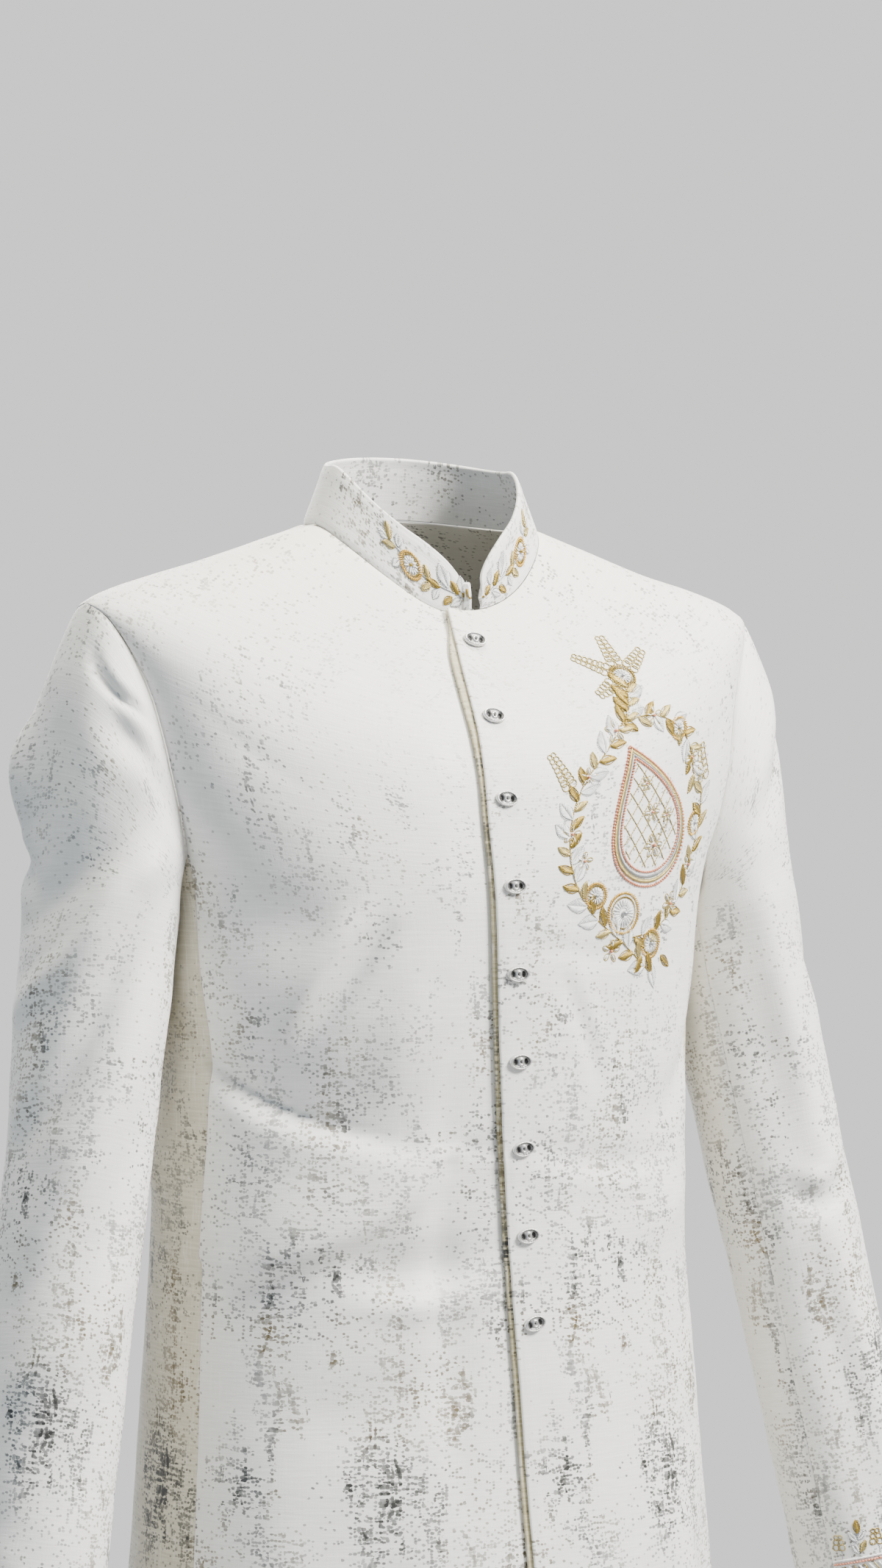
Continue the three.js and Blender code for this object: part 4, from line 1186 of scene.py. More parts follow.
def button_relief(x, y):
    """The height of the button's face, and how dark the silver has gone there.

    The face has a boss with an eye, a hollow on either side of it, a ring of beads and a roped rim.
    """
    def hump(place, middle, reach):
        return np.exp(-(((place - middle) / reach) ** 2))

    rim = np.hypot(x / BUTTON_HALF[0], y / BUTTON_HALF[1])
    around = np.arctan2(y / BUTTON_HALF[1], x / BUTTON_HALF[0])
    rope = hump(rim, 0.87, 0.1)
    boss = np.hypot(x / 1.9, y / 2.4)
    hollow = sum(np.exp(-(np.hypot((x - c) / 1.3, y / 2.0) ** 4)) for c in (-3.7, 3.7))
    height = 1.9 + 1.2 * rope * (0.78 + 0.22 * np.cos(24 * around + 9 * (rim - 0.87) / 0.1))
    height += 0.55 * hump(rim, 0.68, 0.06) * (0.5 + 0.5 * np.cos(20 * around))
    height += 1.0 * hump(boss, 0.75, 0.3) - 0.9 * hump(boss, 0, 0.3) - 1.5 * hollow
    height -= 1.5 * np.clip((rim - 0.93) / 0.07, 0, 1) ** 2
    dark = np.clip(hollow + hump(boss, 0, 0.38) + 0.75 * hump(rim, 0.77, 0.05), 0, 1)
    dark = np.clip(dark + 0.4 * (1 - rope) * (boss > 1.1) * (rim < 0.8), 0, 1)
    return np.maximum(height, BUTTON_BACK + 0.1), dark


def make_button(name, station, tilt, material):
    rings, sides = 22, 72
    radius = np.concatenate([np.linspace(0.03, 0.93, rings - 3), (0.96, 0.985, 1.0)])[:, None]
    around = np.radians(np.arange(sides) * 360 / sides)[None, :]
    x, y = radius * np.cos(around) * BUTTON_HALF[0], radius * np.sin(around) * BUTTON_HALF[1]
    height, dark = button_relief(x, y)
    under = np.stack([x[-1] * 0.86, y[-1] * 0.86, np.full(sides, BUTTON_BACK)], -1)
    flat = np.concatenate([
        np.stack([x, y, height], -1).reshape(-1, 3),
        under,
        [[0, 0, height[0].mean()], [0, 0, BUTTON_BACK]],
    ])
    turn = turn_at_x(torso_at["closing"](station), station)
    point, normal, lift = body_height(1, turn, station, True)
    along = unit(np.cross([0, 0, 1.0], normal)) * -1
    along = unit(along - normal * (along @ normal))
    rise = np.cross(normal, along)
    if rise[2] < 0:
        along, rise = -along, -rise
    c, s = np.cos(np.radians(tilt)), np.sin(np.radians(tilt))
    along, rise = along * c + rise * s, rise * c - along * s
    verts = point + normal * lift + flat @ np.array([along, rise, normal])
    ids = np.arange((rings + 1) * sides).reshape(rings + 1, sides)
    after = np.roll(ids, -1, axis=1)
    faces = np.stack([ids[:-1], ids[1:], after[1:], after[:-1]], -1).reshape(-1, 4).tolist()
    for centre, first, second in ((ids.size, ids[0], after[0]), (ids.size + 1, after[-1], ids[-1])):
        faces += [(centre, a, b) for a, b in zip(first.tolist(), second.tolist())]
    button = smooth_piece(name, verts * MM, faces)
    tarnish = np.concatenate([dark.ravel(), np.ones(sides), [dark[0].mean(), 1.0]])
    button.data.attributes.new("tarnish", "FLOAT", "POINT").data.foreach_set("value", tarnish)
    button.data.materials.append(material)
    return button


def old_silver(name):
    """Silver with darkened hollows and rubbed high spots."""
    board = Board(name)
    tarnish = board.attribute("tarnish", 2)
    grime = board.noise(board.object_place(), 900, 3, 0.6)
    dark = tarnish * 0.9 + grime.between(0.5, 0.75) * 0.3
    colour = board.blend(dark, (0.70, 0.69, 0.67, 1), (0.012, 0.011, 0.010, 1))
    return board.finish(
        Base_Color=colour, Metallic=0.75 - tarnish * 0.2, Roughness=0.34 + dark * 0.4,
        Normal=board.bump(grime, 0.00015, 0.4),
    )


# ---------------------------------------------------------------- embroidery

# Each thread's colour, and how metallic it is.
THREADS = {
    "gold": ((0.34, 0.235, 0.05), 0.7),
    "pale gold": ((0.46, 0.365, 0.14), 0.6),
    "yellow": ((0.58, 0.36, 0.065), 0.45),
    "white": ((0.88, 0.88, 0.88), 0.0),
    "silver": ((0.40, 0.41, 0.42), 0.7),
    "rose": ((0.66, 0.25, 0.14), 0.15),
}
# The threads that make one piece, and the piece's slot.
THREAD_PIECES = {
    "gold_thread": (("gold", "pale gold", "yellow"), "gold_thread"),
    "silver_thread": (("white", "silver"), "silver_thread"),
    "rose_bead": (("rose",), "gold_thread"),
}


def from_here(x, y, angle, ahead, left=0.0):
    """The place that lies so far ahead of x and y along an angle, and so far to its left."""
    c, s = np.cos(np.radians(angle)), np.sin(np.radians(angle))
    return x + c * ahead - s * left, y + s * ahead + c * left


def ring(x, y, radius, steps=40):
    t = np.linspace(0, 2 * np.pi, steps + 1)
    return np.stack([x + radius * np.cos(t), y + radius * np.sin(t)], -1)


def leaf_edges(x, y, angle, length, half, power, steps):
    """The two edges of a leaf, whose broadest part lies past its middle if the power is below 1."""
    t = np.linspace(0, 1, steps)
    for sign in (-1, 1):
        yield np.stack(from_here(x, y, angle, t * length, sign * half * np.sin(np.pi * t ** power)), -1)


class Pattern:
    """Stitches and beads on a flat pattern: x, y, angle, length, width, lift and thread, in millimetres."""

    def __init__(self, seed):
        self.rows = []
        self.rng = np.random.default_rng(seed)

    def stitch(self, x, y, angle, length, width, thread, lift=0.0):
        self.rows.append((x, y, angle + self.rng.normal(0, 2.5), length, width, lift, thread, False))

    def bead(self, x, y, size, thread, lift=0.0):
        self.rows.append((x, y, 0.0, size, size, lift, thread, True))

    def along(self, points, pitch):
        """Even places and directions down a line of points."""
        points = np.asarray(points, float)
        run = distance_run(points)

        def read(at):
            return np.array([np.interp(at, run, axis) for axis in points.T])

        count = max(int(round(run[-1] / pitch)), 1)
        at = (np.arange(count) + 0.5) * run[-1] / count
        dx, dy = read(np.minimum(at + 0.3, run[-1])) - read(np.maximum(at - 0.3, 0))
        return zip(*read(at), np.degrees(np.arctan2(dy, dx)))

    def wire(self, points, thread, width=0.85, pitch=1.6):
        for x, y, angle in self.along(points, pitch):
            self.stitch(x, y, angle, pitch * 1.25, width, thread)

    def rope(self, points, thread, width=1.0, pitch=0.8, slant=38):
        for x, y, angle in self.along(points, pitch):
            self.stitch(x, y, angle + slant, width * 1.9, width * 0.75, thread, 0.1)

    def beads(self, points, thread, size=1.15):
        for x, y, _ in self.along(points, size * 1.12):
            self.bead(x, y, size, thread)

    def leaf(self, x, y, angle, length, width, thread):
        """A leaf of slanted stitches inside a fine wire edge."""
        slant = 42
        count = max(int(length / 0.95), 4)
        for k in range(count):
            t = (k + 0.6) / (count + 0.2)
            across = max(width * np.sin(np.pi * t ** 0.85) / np.sin(np.radians(slant)) * 0.92, 0.9)
            self.stitch(*from_here(x, y, angle, t * length), angle + slant, across, 0.95, thread, 0.35)
        for line in leaf_edges(x, y, angle, length, width / 2 + 0.25, 0.85, 14):
            self.wire(line, thread, 0.75, 1.5)

    def satin_leaf(self, x, y, angle, length, width, thread="white"):
        """A broad leaf: two rows of satin stitches off a midrib, with small beads round it."""
        count = max(int(length), 5)
        for k in range(count):
            t = (k + 0.5) / count
            half = width / 2 * np.sin(np.pi * t ** 0.8)
            for sign in (-1, 1):
                place = from_here(x, y, angle, t * length, half * 0.52 * sign)
                self.stitch(*place, angle + sign * 48, max(half * 1.15, 0.8), 0.8, thread, 0.1)
        for line in leaf_edges(x, y, angle, length, width / 2 + 0.3, 0.8, 16):
            for bead_x, bead_y, _ in self.along(line, 1.25):
                self.bead(bead_x, bead_y, 0.8, "silver")

    def rosette(self, x, y, radius, rim="yellow", eye="silver"):
        """A round flower: a thick twisted rim, a ring of petal loops and a beaded eye."""
        self.rope(ring(x, y, radius * 0.92), rim, 1.4, 1.5, 52)
        self.rope(ring(x, y, radius * 0.72), "gold", 1.0, 1.3, -52)
        petals = max(int(radius * 1.6), 7)
        for turn in np.arange(petals) * 360 / petals:
            self.stitch(*from_here(x, y, turn, radius * 0.46), turn, radius * 0.34, 1.1, "white", 0.2)
        self.beads(ring(x, y, radius * 0.26), "white", 0.9)
        self.bead(x, y, radius * 0.24 + 0.6, eye, 0.5)

    def blossom(self, x, y, radius, petals=6, turned=0.0):
        """A small flower whose petals are loops of wire with a stitch in each."""
        loop_x, loop_y = ring(0, 0, 1, 12).T
        for turn in turned + np.arange(petals) * 360 / petals:
            loop = from_here(x, y, turn, radius * (0.64 + 0.33 * loop_x), radius * 0.21 * loop_y)
            self.wire(np.stack(loop, -1), "pale gold", 0.75, 1.3)
            self.stitch(*from_here(x, y, turn, radius * 0.62), turn, radius * 0.5, 1.2, "white", 0.25)
        self.bead(x, y, radius * 0.3, "rose", 0.3)

    def curl_arm(self, x, y, angle, length, width, thread="pale gold"):
        """A feathery arm: pairs of little wire loops that shrink towards the tip."""
        count = max(int(length / 3.4), 3)
        for k in range(count):
            t = (k + 0.5) / count
            for sign in (-1, 1):
                place = from_here(x, y, angle, t * length, sign * width * 0.27 * (1 - 0.5 * t))
                self.wire(ring(*place, width * 0.24 * (1 - 0.45 * t), 12), thread, 0.85, 1.4)

    def spray(self, points, sizes, threads, slant=42, pitch=7.0):
        """Leaves set by turns on either side of a stem."""
        self.wire(points, "gold", 0.9)
        for k, (x, y, angle) in enumerate(self.along(points, pitch)):
            length, width = sizes[k % len(sizes)]
            thread = threads[k % len(threads)]
            draw = self.satin_leaf if thread == "white" else self.leaf
            draw(x, y, angle + (slant if k % 2 else -slant), length, width, thread)


def smooth_line(points, steps=60):
    """A smooth line through a few places of a pattern."""
    points = np.asarray(points, float)
    at = np.arange(len(points), dtype=float)
    t = np.linspace(0, len(points) - 1, steps)
    return np.stack([curve(at, points[:, 0])(t), curve(at, points[:, 1])(t)], -1)


def teardrop(x, y, width, height, hook, scale=1.0, steps=72):
    """The outline of a curled teardrop, its round end down and its tip hooked to one side."""
    t = np.linspace(0, 2 * np.pi, steps)
    up = -np.cos(t)
    across = np.sin(t) * (0.5 * (1 - up)) ** 0.55
    return np.stack([
        x + scale * width / 2 * across * 1.28 + scale * hook * ((up + 1) / 2) ** 2.4,
        y + scale * height / 2 * up,
    ], -1)


def chest_pattern():
    """A generic spray for the left chest: a trellised teardrop held in a curved stem of flowers."""
    p = Pattern(41)
    drop = (26, -2, 68, 96, -22)
    p.beads(teardrop(*drop), "rose", 1.9)
    p.rope(teardrop(*drop, 0.93), "pale gold", 1.9, 1.1)
    p.rope(teardrop(*drop, 0.87), "silver", 1.4, 1.0, -38)
    p.beads(teardrop(*drop, 0.81), "rose", 1.7)
    inner = teardrop(*drop, 0.75)
    for slope in (-1, 1):
        for k in range(-12, 13):
            t = np.linspace(-60, 60, 241)
            line = np.array([drop[0] + k * 10.0, drop[1]]) + np.stack([t * 0.6, t * slope * 0.8], -1)
            line = line[[inside(inner, q) for q in line]]
            if len(line) > 10:
                p.wire(line, "pale gold", 0.8, 1.8)
    for cx, cy, radius in ((28, -24, 8.5), (24, -2, 6.5), (18, 18, 5.0), (38, -6, 4.6)):
        p.blossom(cx, cy, radius)
    stem = smooth_line([
        (36, -106), (12, -88), (-20, -66), (-38, -38), (-43, -5), (-34, 24), (-12, 48), (10, 68), (22, 86),
    ])
    p.spray(stem, [(13, 5.6), (16, 9), (12, 5), (13, 6), (16, 9)],
            ["gold", "white", "pale gold", "gold", "white"], 46, 6.6)
    branch = smooth_line([(14, -82), (40, -76), (64, -56), (75, -26), (74, 4)])
    p.spray(branch, [(13, 5.6), (15, 8), (12, 5)], ["gold", "white", "pale gold"], 44, 6.6)
    shoot = smooth_line([(2, 62), (24, 62), (45, 52), (60, 32), (66, 10)])
    p.spray(shoot, [(12, 5.4), (14, 7.5), (12, 5)], ["gold", "white", "pale gold"], 46, 6.4)
    neck = smooth_line([(6, 62), (14, 74), (22, 88)])
    p.spray(neck, [(11, 5), (13, 7)], ["pale gold", "gold"], 52, 5.5)
    p.curl_arm(76, 8, 98, 22, 12)
    p.curl_arm(-44, 24, 118, 28, 12)
    for cx, cy, radius in ((6, -66, 14.0), (-18, -54, 9.0), (34, -86, 9.5), (70, -16, 7.5), (50, 46, 7.5)):
        p.rosette(cx, cy, radius)
    for cx, cy, radius in ((-4, 58, 8.4), (-2, -90, 7.6), (30, 60, 7.0), (70, -40, 7.2), (62, 24, 6.8),
                           (-30, -30, 7.0), (52, -62, 8.0), (-42, -10, 7.4), (-30, 30, 7.0)):
        p.blossom(cx, cy, radius, 5 + int(cx > 40), 12)
    p.rosette(24, 92, 9.0, "gold")
    for angle, length in ((20, 21), (72, 24), (128, 24), (196, 18)):
        p.curl_arm(*from_here(24, 92, angle, 10), angle, length, 12)
    p.satin_leaf(34, -98, -74, 17, 8)
    p.leaf(26, -94, -128, 13, 5.6, "gold")
    p.leaf(46, -94, -38, 12, 5.2, "gold")
    return p


def inside(outline, place):
    """Whether a place lies within a closed outline."""
    x, y = outline.T
    x2, y2 = np.roll(x, -1), np.roll(y, -1)
    crosses = (y > place[1]) != (y2 > place[1])
    at = x + (place[1] - y) * (x2 - x) / np.where(y2 == y, 1e-9, y2 - y)
    return np.count_nonzero(crosses & (place[0] < at)) % 2 == 1


def collar_pattern():
    """A sprig for one front end of the collar: x runs back from the end, y up the band."""
    p = Pattern(42)
    vine = smooth_line([(4, 7), (16, 12), (30, 15), (44, 17), (58, 22), (68, 25)])
    p.wire(vine, "silver", 0.8)
    p.rosette(50, 18, 8.6, "yellow", "gold")
    for x, y, angle, length, width in ((5, 8, 40, 7.5, 4.2), (14, 12, 52, 10, 4.6), (28, 14, 12, 11, 4.2),
                                       (36, 16, 64, 9, 4.4), (20, 10, -48, 8.5, 4.2), (36, 14, -52, 9.5, 4.4),
                                       (62, 23, -16, 10.5, 4.8), (66, 25, 66, 10.5, 4.8)):
        p.leaf(x, y, angle, length, width, "gold" if x < 30 else "pale gold")
    for x, y, angle, length, width in ((11, 13, 82, 11, 6.6), (22, 15, 66, 16, 9.4), (12, 9, -30, 10, 5),
                                       (30, 12, -64, 8, 4.4), (60, 24, 92, 9, 5), (68, 24, 14, 9, 5.4),
                                       (59, 16, -54, 8, 4.6)):
        p.satin_leaf(x, y, angle, length, width)
    p.bead(3, 7, 1.8, "gold")
    return p


def cuff_pattern(girth):
    """A border for the cuff: x runs round from the front seam, y up from the corded line."""
    p = Pattern(43)
    line = np.array([(0.8, 0.0), (girth - 0.8, 0.0)])
    p.rope(line, "white", 1.1, 0.8)
    p.beads(line - [0, 2.1], "rose", 1.7)
    for k in range(int(girth / 6.4)):
        x = 4 + k * 6.4
        p.stitch(x, -7.2, -58, 8.5, 1.0, "gold" if k % 2 else "pale gold")
        p.stitch(x + 3.2, -7.2, -58, 8.5, 1.4, "white")
    p.beads(line - [0, 12.4], "rose", 1.4)
    for k in range(int(girth / 25)):
        x = 8 + k * 25
        p.curl_arm(x - 1, 7, 84, 10, 9, "gold" if k % 2 else "pale gold")
        p.wire(smooth_line([(x, 1), (x + 0.5, 5), (x - 1, 9)], 12), "silver", 0.6)
        p.wire(smooth_line([(x + 12, 1), (x + 11, 9), (x + 13, 19)], 16), "silver", 0.6)
        p.satin_leaf(x + 11.5, 3, 112, 8.5, 4)
        p.satin_leaf(x + 11.5, 11, 122, 8, 3.8)
        p.leaf(x + 13, 16, 84, 9, 3.8, "gold")
        p.satin_leaf(x + 13, 12, 48, 8, 3.6)
        p.leaf(x + 12.5, 4, 52, 8.5, 3.6, "pale gold")
    return p


def placer(surface, a_values, b_values, start):
    """A function that gives a surface's a from its b and a length measured along it from where a is start."""
    run = distance_run(surface(*np.meshgrid(a_values, b_values)), 1)
    run = run - np.array([[np.interp(start, a_values, row)] for row in run])

    def read(x, b):
        at = np.interp(b, b_values, np.arange(len(b_values)))
        low = np.minimum(at.astype(int), len(b_values) - 2)
        rows = mix(run[low], run[low + 1], (at - low)[:, None])
        spot = np.clip((rows < x[:, None]).sum(1) - 1, 0, len(a_values) - 2)
        pick = np.arange(len(x))
        share = (x - rows[pick, spot]) / (rows[pick, spot + 1] - rows[pick, spot])
        return a_values[spot] + share * (a_values[spot + 1] - a_values[spot])
    return read


CHEST_TURN, CHEST_STATION = 21.5, 604.0
CUFF_LINE = 428.0
CUFF_GIRTH = 168.0


def on_chest():
    turn_of = placer(torso_point, np.linspace(-20, 88, 217), np.linspace(420, 840, 43), CHEST_TURN)
    stations = np.linspace(420, 840, 211)
    height_at = distance_run(torso_point(CHEST_TURN + 8, stations))
    height_at -= np.interp(CHEST_STATION, stations, height_at)

    def place(x, y):
        station = np.interp(y, height_at, stations)
        point, normal, height = body_height(1, turn_of(x, station), station, True)
        return point + normal * height[:, None], normal
    return place


def on_collar(side):
    ends = collar_ends()
    turns = np.linspace(*ends, 721)
    run = distance_run(collar_point(turns, 0.4)[0])

    def place(x, y):
        turn = np.interp(x if side > 0 else run[-1] - x, run, turns)
        return collar_point(turn, y / (COLLAR_HEIGHT * collar_share(turn)))
    return place


def on_cuff(name, side):
    def surface(a, b):
        return sleeve_surface(name, -a, b)[0]

    around_of = placer(surface, np.linspace(-150, 76, 227), np.linspace(400, 461, 8), -SLEEVE_FRONT_SEAM)

    def place(x, y):
        down = CUFF_LINE - y
        point, normal = sleeve_surface(name, -around_of(x, down), down)
        return point * [side, 1, 1], normal * [side, 1, 1]
    return place


def stitch_tree():
    """Geometry nodes that set one stitch or bead on each point of a pattern."""
    tree = bpy.data.node_groups.new("set_stitches", "GeometryNodeTree")
    face = tree.interface
    face.new_socket("Geometry", in_out="INPUT", socket_type="NodeSocketGeometry")
    for label, default in (("Stitch sides", 5), ("Stitch rings", 4)):
        face.new_socket(label, in_out="INPUT", socket_type="NodeSocketInt").default_value = default
    face.new_socket("Finish", in_out="INPUT", socket_type="NodeSocketMaterial")
    face.new_socket("Geometry", in_out="OUTPUT", socket_type="NodeSocketGeometry")
    board = Board("set_stitches", tree)
    node = board.node

    def given(label):
        return node("NodeGroupInput", None, None, label)

    def read(name, kind):
        socket = node("GeometryNodeInputNamedAttribute", {"data_type": kind}, {"Name": name}).socket
        return Wire(board, next(o for o in socket.node.outputs if o.enabled and o.name == "Attribute"))

    ball = node("GeometryNodeMeshUVSphere", None, {
        "Segments": given("Stitch sides"), "Rings": given("Stitch rings"), "Radius": 0.5,
    })
    position = node("GeometryNodeInputPosition")
    x, y, z = (board.part(position, index) for index in range(3))
    blunt_z = z.maths("POWER", z.maths("ABSOLUTE", z), 0.5) * z.maths("SIGN", z) * 0.5 ** 0.5
    stitch = node("GeometryNodeSetPosition", None, {"Geometry": ball, "Position": board.vector(x, y, blunt_z)})
    lie = node("FunctionNodeAlignRotationToVector", {"axis": "Z"}, {"Vector": read("along", "FLOAT_VECTOR")})
    stand = node("FunctionNodeAlignRotationToVector", {"axis": "X", "pivot_axis": "Z"}, {
        "Rotation": lie, "Vector": read("out", "FLOAT_VECTOR"),
    })
    compare = {"data_type": "FLOAT", "operation": "GREATER_THAN"}
    is_bead = node("FunctionNodeCompare", compare, {0: read("round", "FLOAT"), 1: 0.5})
    is_stitch = node("FunctionNodeBooleanMath", {"operation": "NOT"}, {0: is_bead})
    joined = node("GeometryNodeJoinGeometry")
    for shape, chosen in ((ball, is_bead), (stitch, is_stitch)):
        put = node("GeometryNodeInstanceOnPoints", None, {
            "Points": given("Geometry"), "Selection": chosen, "Instance": shape,
            "Rotation": stand, "Scale": read("size", "FLOAT_VECTOR"),
        })
        tree.links.new(put.socket, joined.socket.node.inputs[0])
    real = node("GeometryNodeRealizeInstances", None, {"Geometry": joined})
    smooth = node("GeometryNodeSetShadeSmooth", None, {"Geometry": real})
    coat = node("GeometryNodeSetMaterial", None, {"Geometry": smooth, "Material": given("Finish")})
    tree.links.new(coat.socket, tree.nodes.new("NodeGroupOutput").inputs[0])
    return tree


# The kind of attribute for values of one, three or four numbers, and its key.
ATTRIBUTE_KINDS = {1: ("FLOAT", "value"), 3: ("FLOAT_VECTOR", "vector"), 4: ("FLOAT_COLOR", "color")}


def embroider(name, pattern, place, tree, finishes):
    """Lays a pattern on the cloth: one piece for each kind of thread."""
    made = []
    for kind, (threads, slot) in THREAD_PIECES.items():
        rows = [row for row in pattern.rows if row[6] in threads]
        if not rows:
            continue
        x, y, angle, length, width, lift = np.array([row[:6] for row in rows]).T
        point, normal = place(x, y)
        ahead, over = place(x + 0.4, y)[0], place(x, y + 0.4)[0]
        tx = unit(ahead - point)
        ty = unit(over - point)
        along = unit(tx * np.cos(np.radians(angle))[:, None] + ty * np.sin(np.radians(angle))[:, None])
        out = unit(np.cross(tx, ty))
        out = out * np.sign(np.sum(out * normal, -1, keepdims=True))
        spot = point + out * (width * 0.32 + lift)[:, None]
        size = np.stack([width, width, length], -1)
        rng = np.random.default_rng(5)
        base = np.array([THREADS[row[6]][0] for row in rows]) * rng.uniform(0.86, 1.08, (len(rows), 1))
        shade = np.concatenate([np.clip(base, 0, 0.95), np.ones((len(rows), 1))], 1)
        piece = smooth_piece(f"{name}_{kind}", spot * MM, [])
        piece.data.name += "_places"
        for label, values in (
            ("along", along), ("out", out), ("size", size * MM), ("shade", shade),
            ("round", np.array([float(row[7]) for row in rows])),
            ("metal", np.array([THREADS[row[6]][1] for row in rows])),
        ):
            data_type, key = ATTRIBUTE_KINDS[values[0].size]
            attribute = piece.data.attributes.new(label, data_type, "POINT")
            attribute.data.foreach_set(key, values.astype(np.float32).ravel())
        modifier = piece.modifiers.new("stitches", "NODES")
        modifier.node_group = tree
        for item in tree.interface.items_tree:
            if item.in_out == "INPUT" and item.name == "Finish":
                modifier[item.identifier] = finishes[kind]
        graph = bpy.context.evaluated_depsgraph_get()
        mesh = bpy.data.meshes.new_from_object(piece.evaluated_get(graph), depsgraph=graph)
        piece.modifiers.remove(modifier)
        piece.data = mesh
        mesh.name = piece.name
        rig.slot(piece, slot)
        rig.ride(piece, BODY)
        made.append(piece)
    return made


def thread_finish(name, roughness):
    """Twisted metal and silk thread, coloured stitch by stitch."""
    board = Board(name)
    twist = board.noise(board.object_place(), 2400, 1, 0.5)
    return board.finish(
        Base_Color=board.attribute("shade", 0), Metallic=board.attribute("metal", 2),
        Roughness=twist * 0.25 + roughness, Normal=board.bump(twist, 0.0002, 0.6),
    )


# ---------------------------------------------------------------- building it

# The cut of each piece of cloth: its width and length in metres, its flat area, and what it hangs from.
CUTS = {
    "right_front": (0.330, 0.760, 0.187, ["right_back"]),
    "left_front": (0.300, 0.760, 0.163, ["left_back"]),
    "left_front_facing": (0.075, 0.715, 0.0335, ["left_front"]),
    "right_back": (0.280, 0.805, 0.1535, []),
    "left_back": (0.280, 0.805, 0.1535, []),
    "right_side": (0.130, 0.565, 0.0577, ["right_front", "right_back"]),
    "left_side": (0.130, 0.565, 0.0577, ["left_front", "left_back"]),
    "collar": (0.475, 0.040, 0.0167, ["right_front", "left_front", "right_back", "left_back"]),
    "right_top_sleeve": (0.198, 0.645, 0.119, ["right_front", "right_back"]),
    "left_top_sleeve": (0.198, 0.645, 0.119, ["left_front", "left_back"]),
    "right_under_sleeve": (0.120, 0.645, 0.0607, ["right_top_sleeve"]),
    "left_under_sleeve": (0.120, 0.645, 0.0607, ["left_top_sleeve"]),
    "trouser_right_front": (0.270, 1.030, 0.234, ["trouser_waistband"]),
    "trouser_left_front": (0.270, 1.030, 0.234, ["trouser_waistband"]),
    "trouser_right_back": (0.270, 1.030, 0.2332, ["trouser_waistband"]),
    "trouser_left_back": (0.270, 1.030, 0.2332, ["trouser_waistband"]),
    "trouser_waistband": (0.835, 0.039, 0.0324, []),
}
cloths = {}


def dress(piece, material, slot, node):
    piece.data.materials.append(material)
    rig.slot(piece, slot)
    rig.ride(piece, BODY)
    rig.replaces(piece, node)
    cloths[node] = piece


brocade = brocade_cloth("ivory_brocade", IVORY, IVORY_SHADE)
# painted shade: the side panels take a darker, warmer brocade with denser specks
side_brocade = brocade_cloth("side_brocade", PAINTED_SHADE_STRAW, PAINTED_SHADE_STRAW_DARK, 1.4)
# painted shade: the facing takes a dark, warm brocade with dense specks
facing_painted_shade_brocade = brocade_cloth("shaded_brocade", PAINTED_SHADE_FLAX, PAINTED_SHADE_FLAX_DARK, 2.0)
suiting = plain_cloth("ivory_suiting", (0.74, 0.70, 0.60, 1), (0.66, 0.62, 0.52, 1))

SIDES = (("right", -1), ("left", 1))
SLEEVE_PARTS = (
    ("top_sleeve", SLEEVE_BACK_SEAM - 360, SLEEVE_FRONT_SEAM),
    ("under_sleeve", SLEEVE_FRONT_SEAM, SLEEVE_BACK_SEAM),
)
for side_name, side in SIDES:
    for part, make, cloth in (
        ("front", make_front, brocade), ("back", make_back, brocade), ("side", make_side, side_brocade),
    ):
        node = f"{side_name}_{part}"
        dress(make(f"{node}_cloth", side), cloth, "brocade", node)
    for part, start, end in SLEEVE_PARTS:
        node = f"{side_name}_{part}"
        dress(make_sleeve(f"{node}_cloth", side_name, side, start, end), brocade, "brocade", node)
    for half in ("front", "back"):
        node = f"trouser_{side_name}_{half}"
        dress(make_trouser_panel(f"{node}_cloth", side, half), suiting, "trouser_cloth", node)
dress(make_facing("front_facing_cloth"), facing_painted_shade_brocade, "facing", "left_front_facing")
dress(make_collar("collar_cloth"), brocade, "brocade", "collar")
dress(make_waistband("waistband_cloth"), suiting, "trouser_cloth", "trouser_waistband")

silver = old_silver("old_silver")
for number, (station, tilt) in enumerate(zip(button_stations(), BUTTON_TILTS), 1):
    button = make_button(f"button_{number}_silver", station, tilt, silver)
    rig.slot(button, "button_metal")
    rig.ride(button, BODY)
    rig.replaces(button, f"button_{number}")

finishes = {
    "gold_thread": thread_finish("gold_thread", 0.24),
    "silver_thread": thread_finish("white_thread", 0.32),
    "rose_bead": thread_finish("rose_bead", 0.14),
}
stitches = stitch_tree()
sewn_on = {"collar": []}
sewn_on["left_front"] = embroider("chest_spray", chest_pattern(), on_chest(), stitches, finishes)
for side_name, side in SIDES:
    sprig = embroider(f"{side_name}_collar_sprig", collar_pattern(), on_collar(side), stitches, finishes)
    border = cuff_pattern(CUFF_GIRTH)
    border = embroider(f"{side_name}_cuff_border", border, on_cuff(side_name, side), stitches, finishes)
    sewn_on["collar"] += sprig
    sewn_on[f"{side_name}_top_sleeve"] = border

for node, (width, length, area, hangs_from) in CUTS.items():
    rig.sheet(
        cloths[node], flat=(width, length), held="hung", rests_on=hangs_from, area=area,
        with_pieces=sewn_on.get(node, ()),
    )

# ---------------------------------------------------------------- camera, floor and light

LIGHT_TARGET = (0, 0, -0.4)
FLOOR_GAP = 0.012
VIEW_TURN = np.radians(-27.0)
VIEW_DISTANCE = 2.7
VIEW_TARGET = np.array([0.0113, -0.0058, -0.1645])
FRAME_HEIGHT_PX = 2133
FOCAL_PX = 5746
SENSOR_MM = 36.0
WALL_LIGHT = (1.07, 1.07, 1.07, 1)
ROOM_LIGHT = (0.20, 0.235, 0.275, 1)


def look_at(obj, place, target):
    place, target = Vector(place), Vector(target)
    obj.location = place
    obj.rotation_euler = (target - place).to_track_quat("-Z", "Y").to_euler()


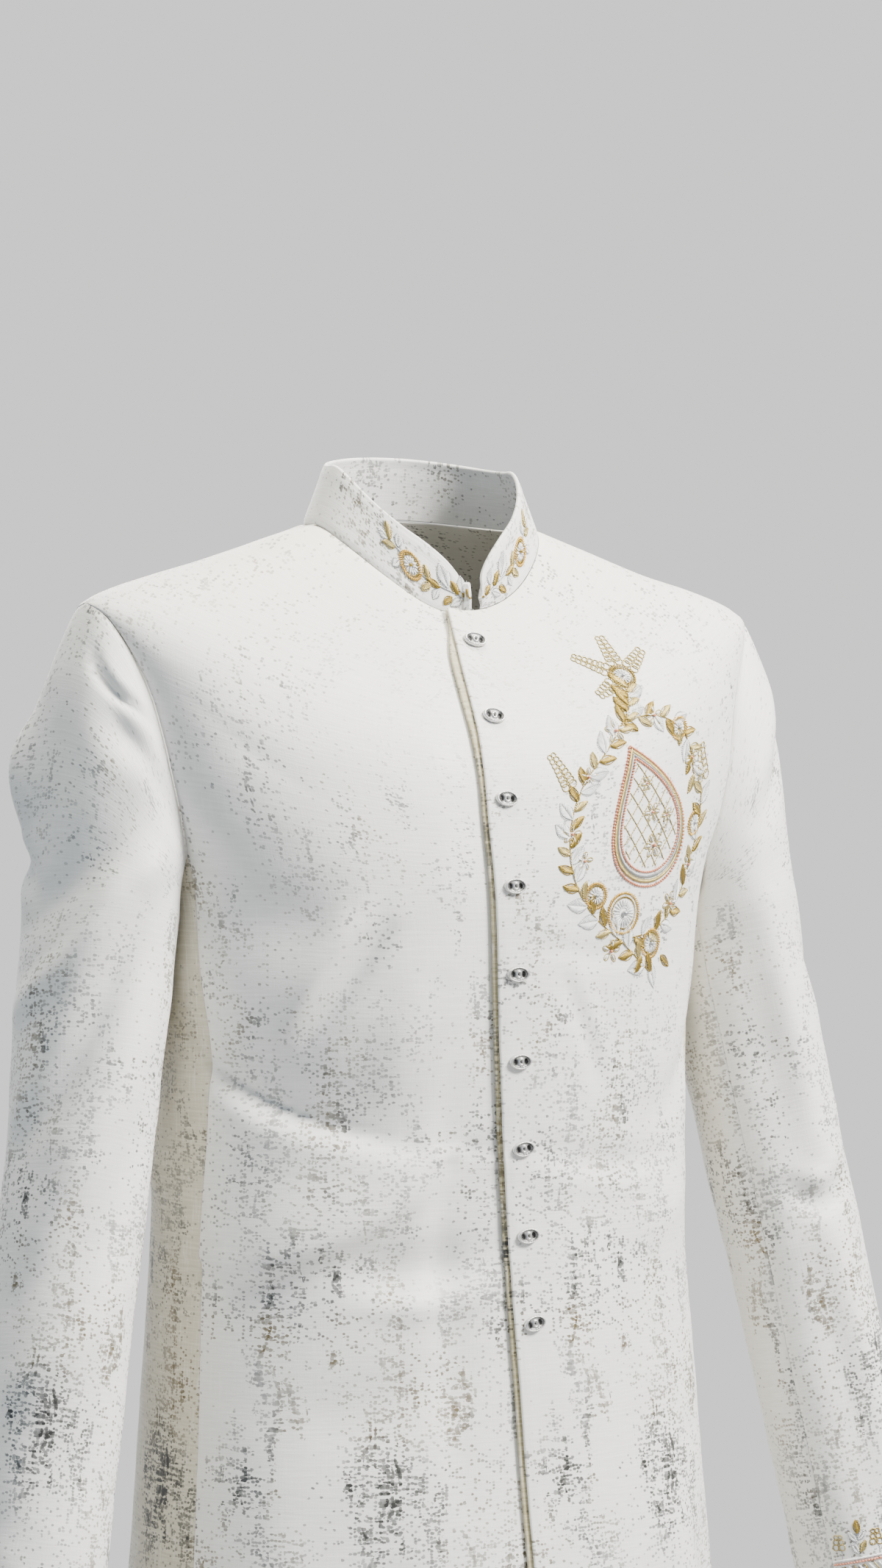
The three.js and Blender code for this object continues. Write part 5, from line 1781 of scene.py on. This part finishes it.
def add_camera():
    data = bpy.data.cameras.new("camera")
    data.sensor_fit = "VERTICAL"
    data.sensor_height = SENSOR_MM
    data.lens = FOCAL_PX / FRAME_HEIGHT_PX * SENSOR_MM
    camera = bpy.data.objects.new("camera", data)
    bpy.context.scene.collection.objects.link(camera)
    away = np.array([np.sin(VIEW_TURN), -np.cos(VIEW_TURN), 0.0])
    look_at(camera, VIEW_TARGET + away * VIEW_DISTANCE, VIEW_TARGET)
    bpy.context.scene.camera = camera


def add_light(name, place, size, power, colour):
    data = bpy.data.lights.new(name, "AREA")
    data.shape = "RECTANGLE"
    data.size, data.size_y = size
    data.energy = power
    data.color = colour
    light = bpy.data.objects.new(name.replace(" ", "_"), data)
    bpy.context.scene.collection.objects.link(light)
    look_at(light, place, LIGHT_TARGET)


def add_floor():
    bpy.ops.mesh.primitive_circle_add(vertices=96, radius=3.6, fill_type="NGON", location=(0, 0, 0))
    floor = bpy.context.object
    floor.name = "floor"
    for vertex in floor.data.vertices:
        vertex.co.z = TROUSER_HEM * MM - FLOOR_GAP
    board = Board("pale_floor")
    grain = board.noise(board.object_place(), 9.0, 3, 0.5)
    grey = board.blend(grain, (0.42, 0.42, 0.42, 1), (0.46, 0.46, 0.46, 1))
    floor.data.materials.append(board.finish(Base_Color=grey, Roughness=0.8))
    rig.stage(floor)


def set_world():
    """A pale wall behind the suit, and a dimmer room elsewhere."""
    world = bpy.data.worlds.new("studio")
    world.use_nodes = True
    board = Board("studio", world.node_tree)
    towards = board.node("ShaderNodeTexCoord")
    wall = (-np.sin(VIEW_TURN), np.cos(VIEW_TURN), 0.0)
    facing = board.node("ShaderNodeVectorMath", {"operation": "DOT_PRODUCT"}, {0: towards, 1: wall}, 1)
    colour = board.blend(facing.between(0.35, 0.9), ROOM_LIGHT, WALL_LIGHT)
    surface = board.node("ShaderNodeBackground", None, {"Color": colour})
    board.tree.links.new(surface.socket, board.tree.nodes.new("ShaderNodeOutputWorld").inputs["Surface"])
    bpy.context.scene.world = world


add_camera()
add_floor()
set_world()
add_light("key", (1.6, -1.95, 1.8), (1.0, 1.0), 362, (1.0, 0.985, 0.95))
add_light("top", (-0.25, -0.25, 2.2), (1.2, 1.0), 120, (1.0, 0.94, 0.80))
add_light("cool side", (-2.8, -0.9, 0.3), (1.8, 1.8), 16, (0.55, 0.78, 1.0))
add_light("back", (0.8, 2.8, 1.2), (2.0, 2.0), 110, (1.0, 1.0, 1.0))

with open("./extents.json", "w") as out:
    boxes = {"cad": CAD_BOX, "visual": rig.bounds()}
    json.dump({key: [list(map(float, corner)) for corner in box] for key, box in boxes.items()}, out)
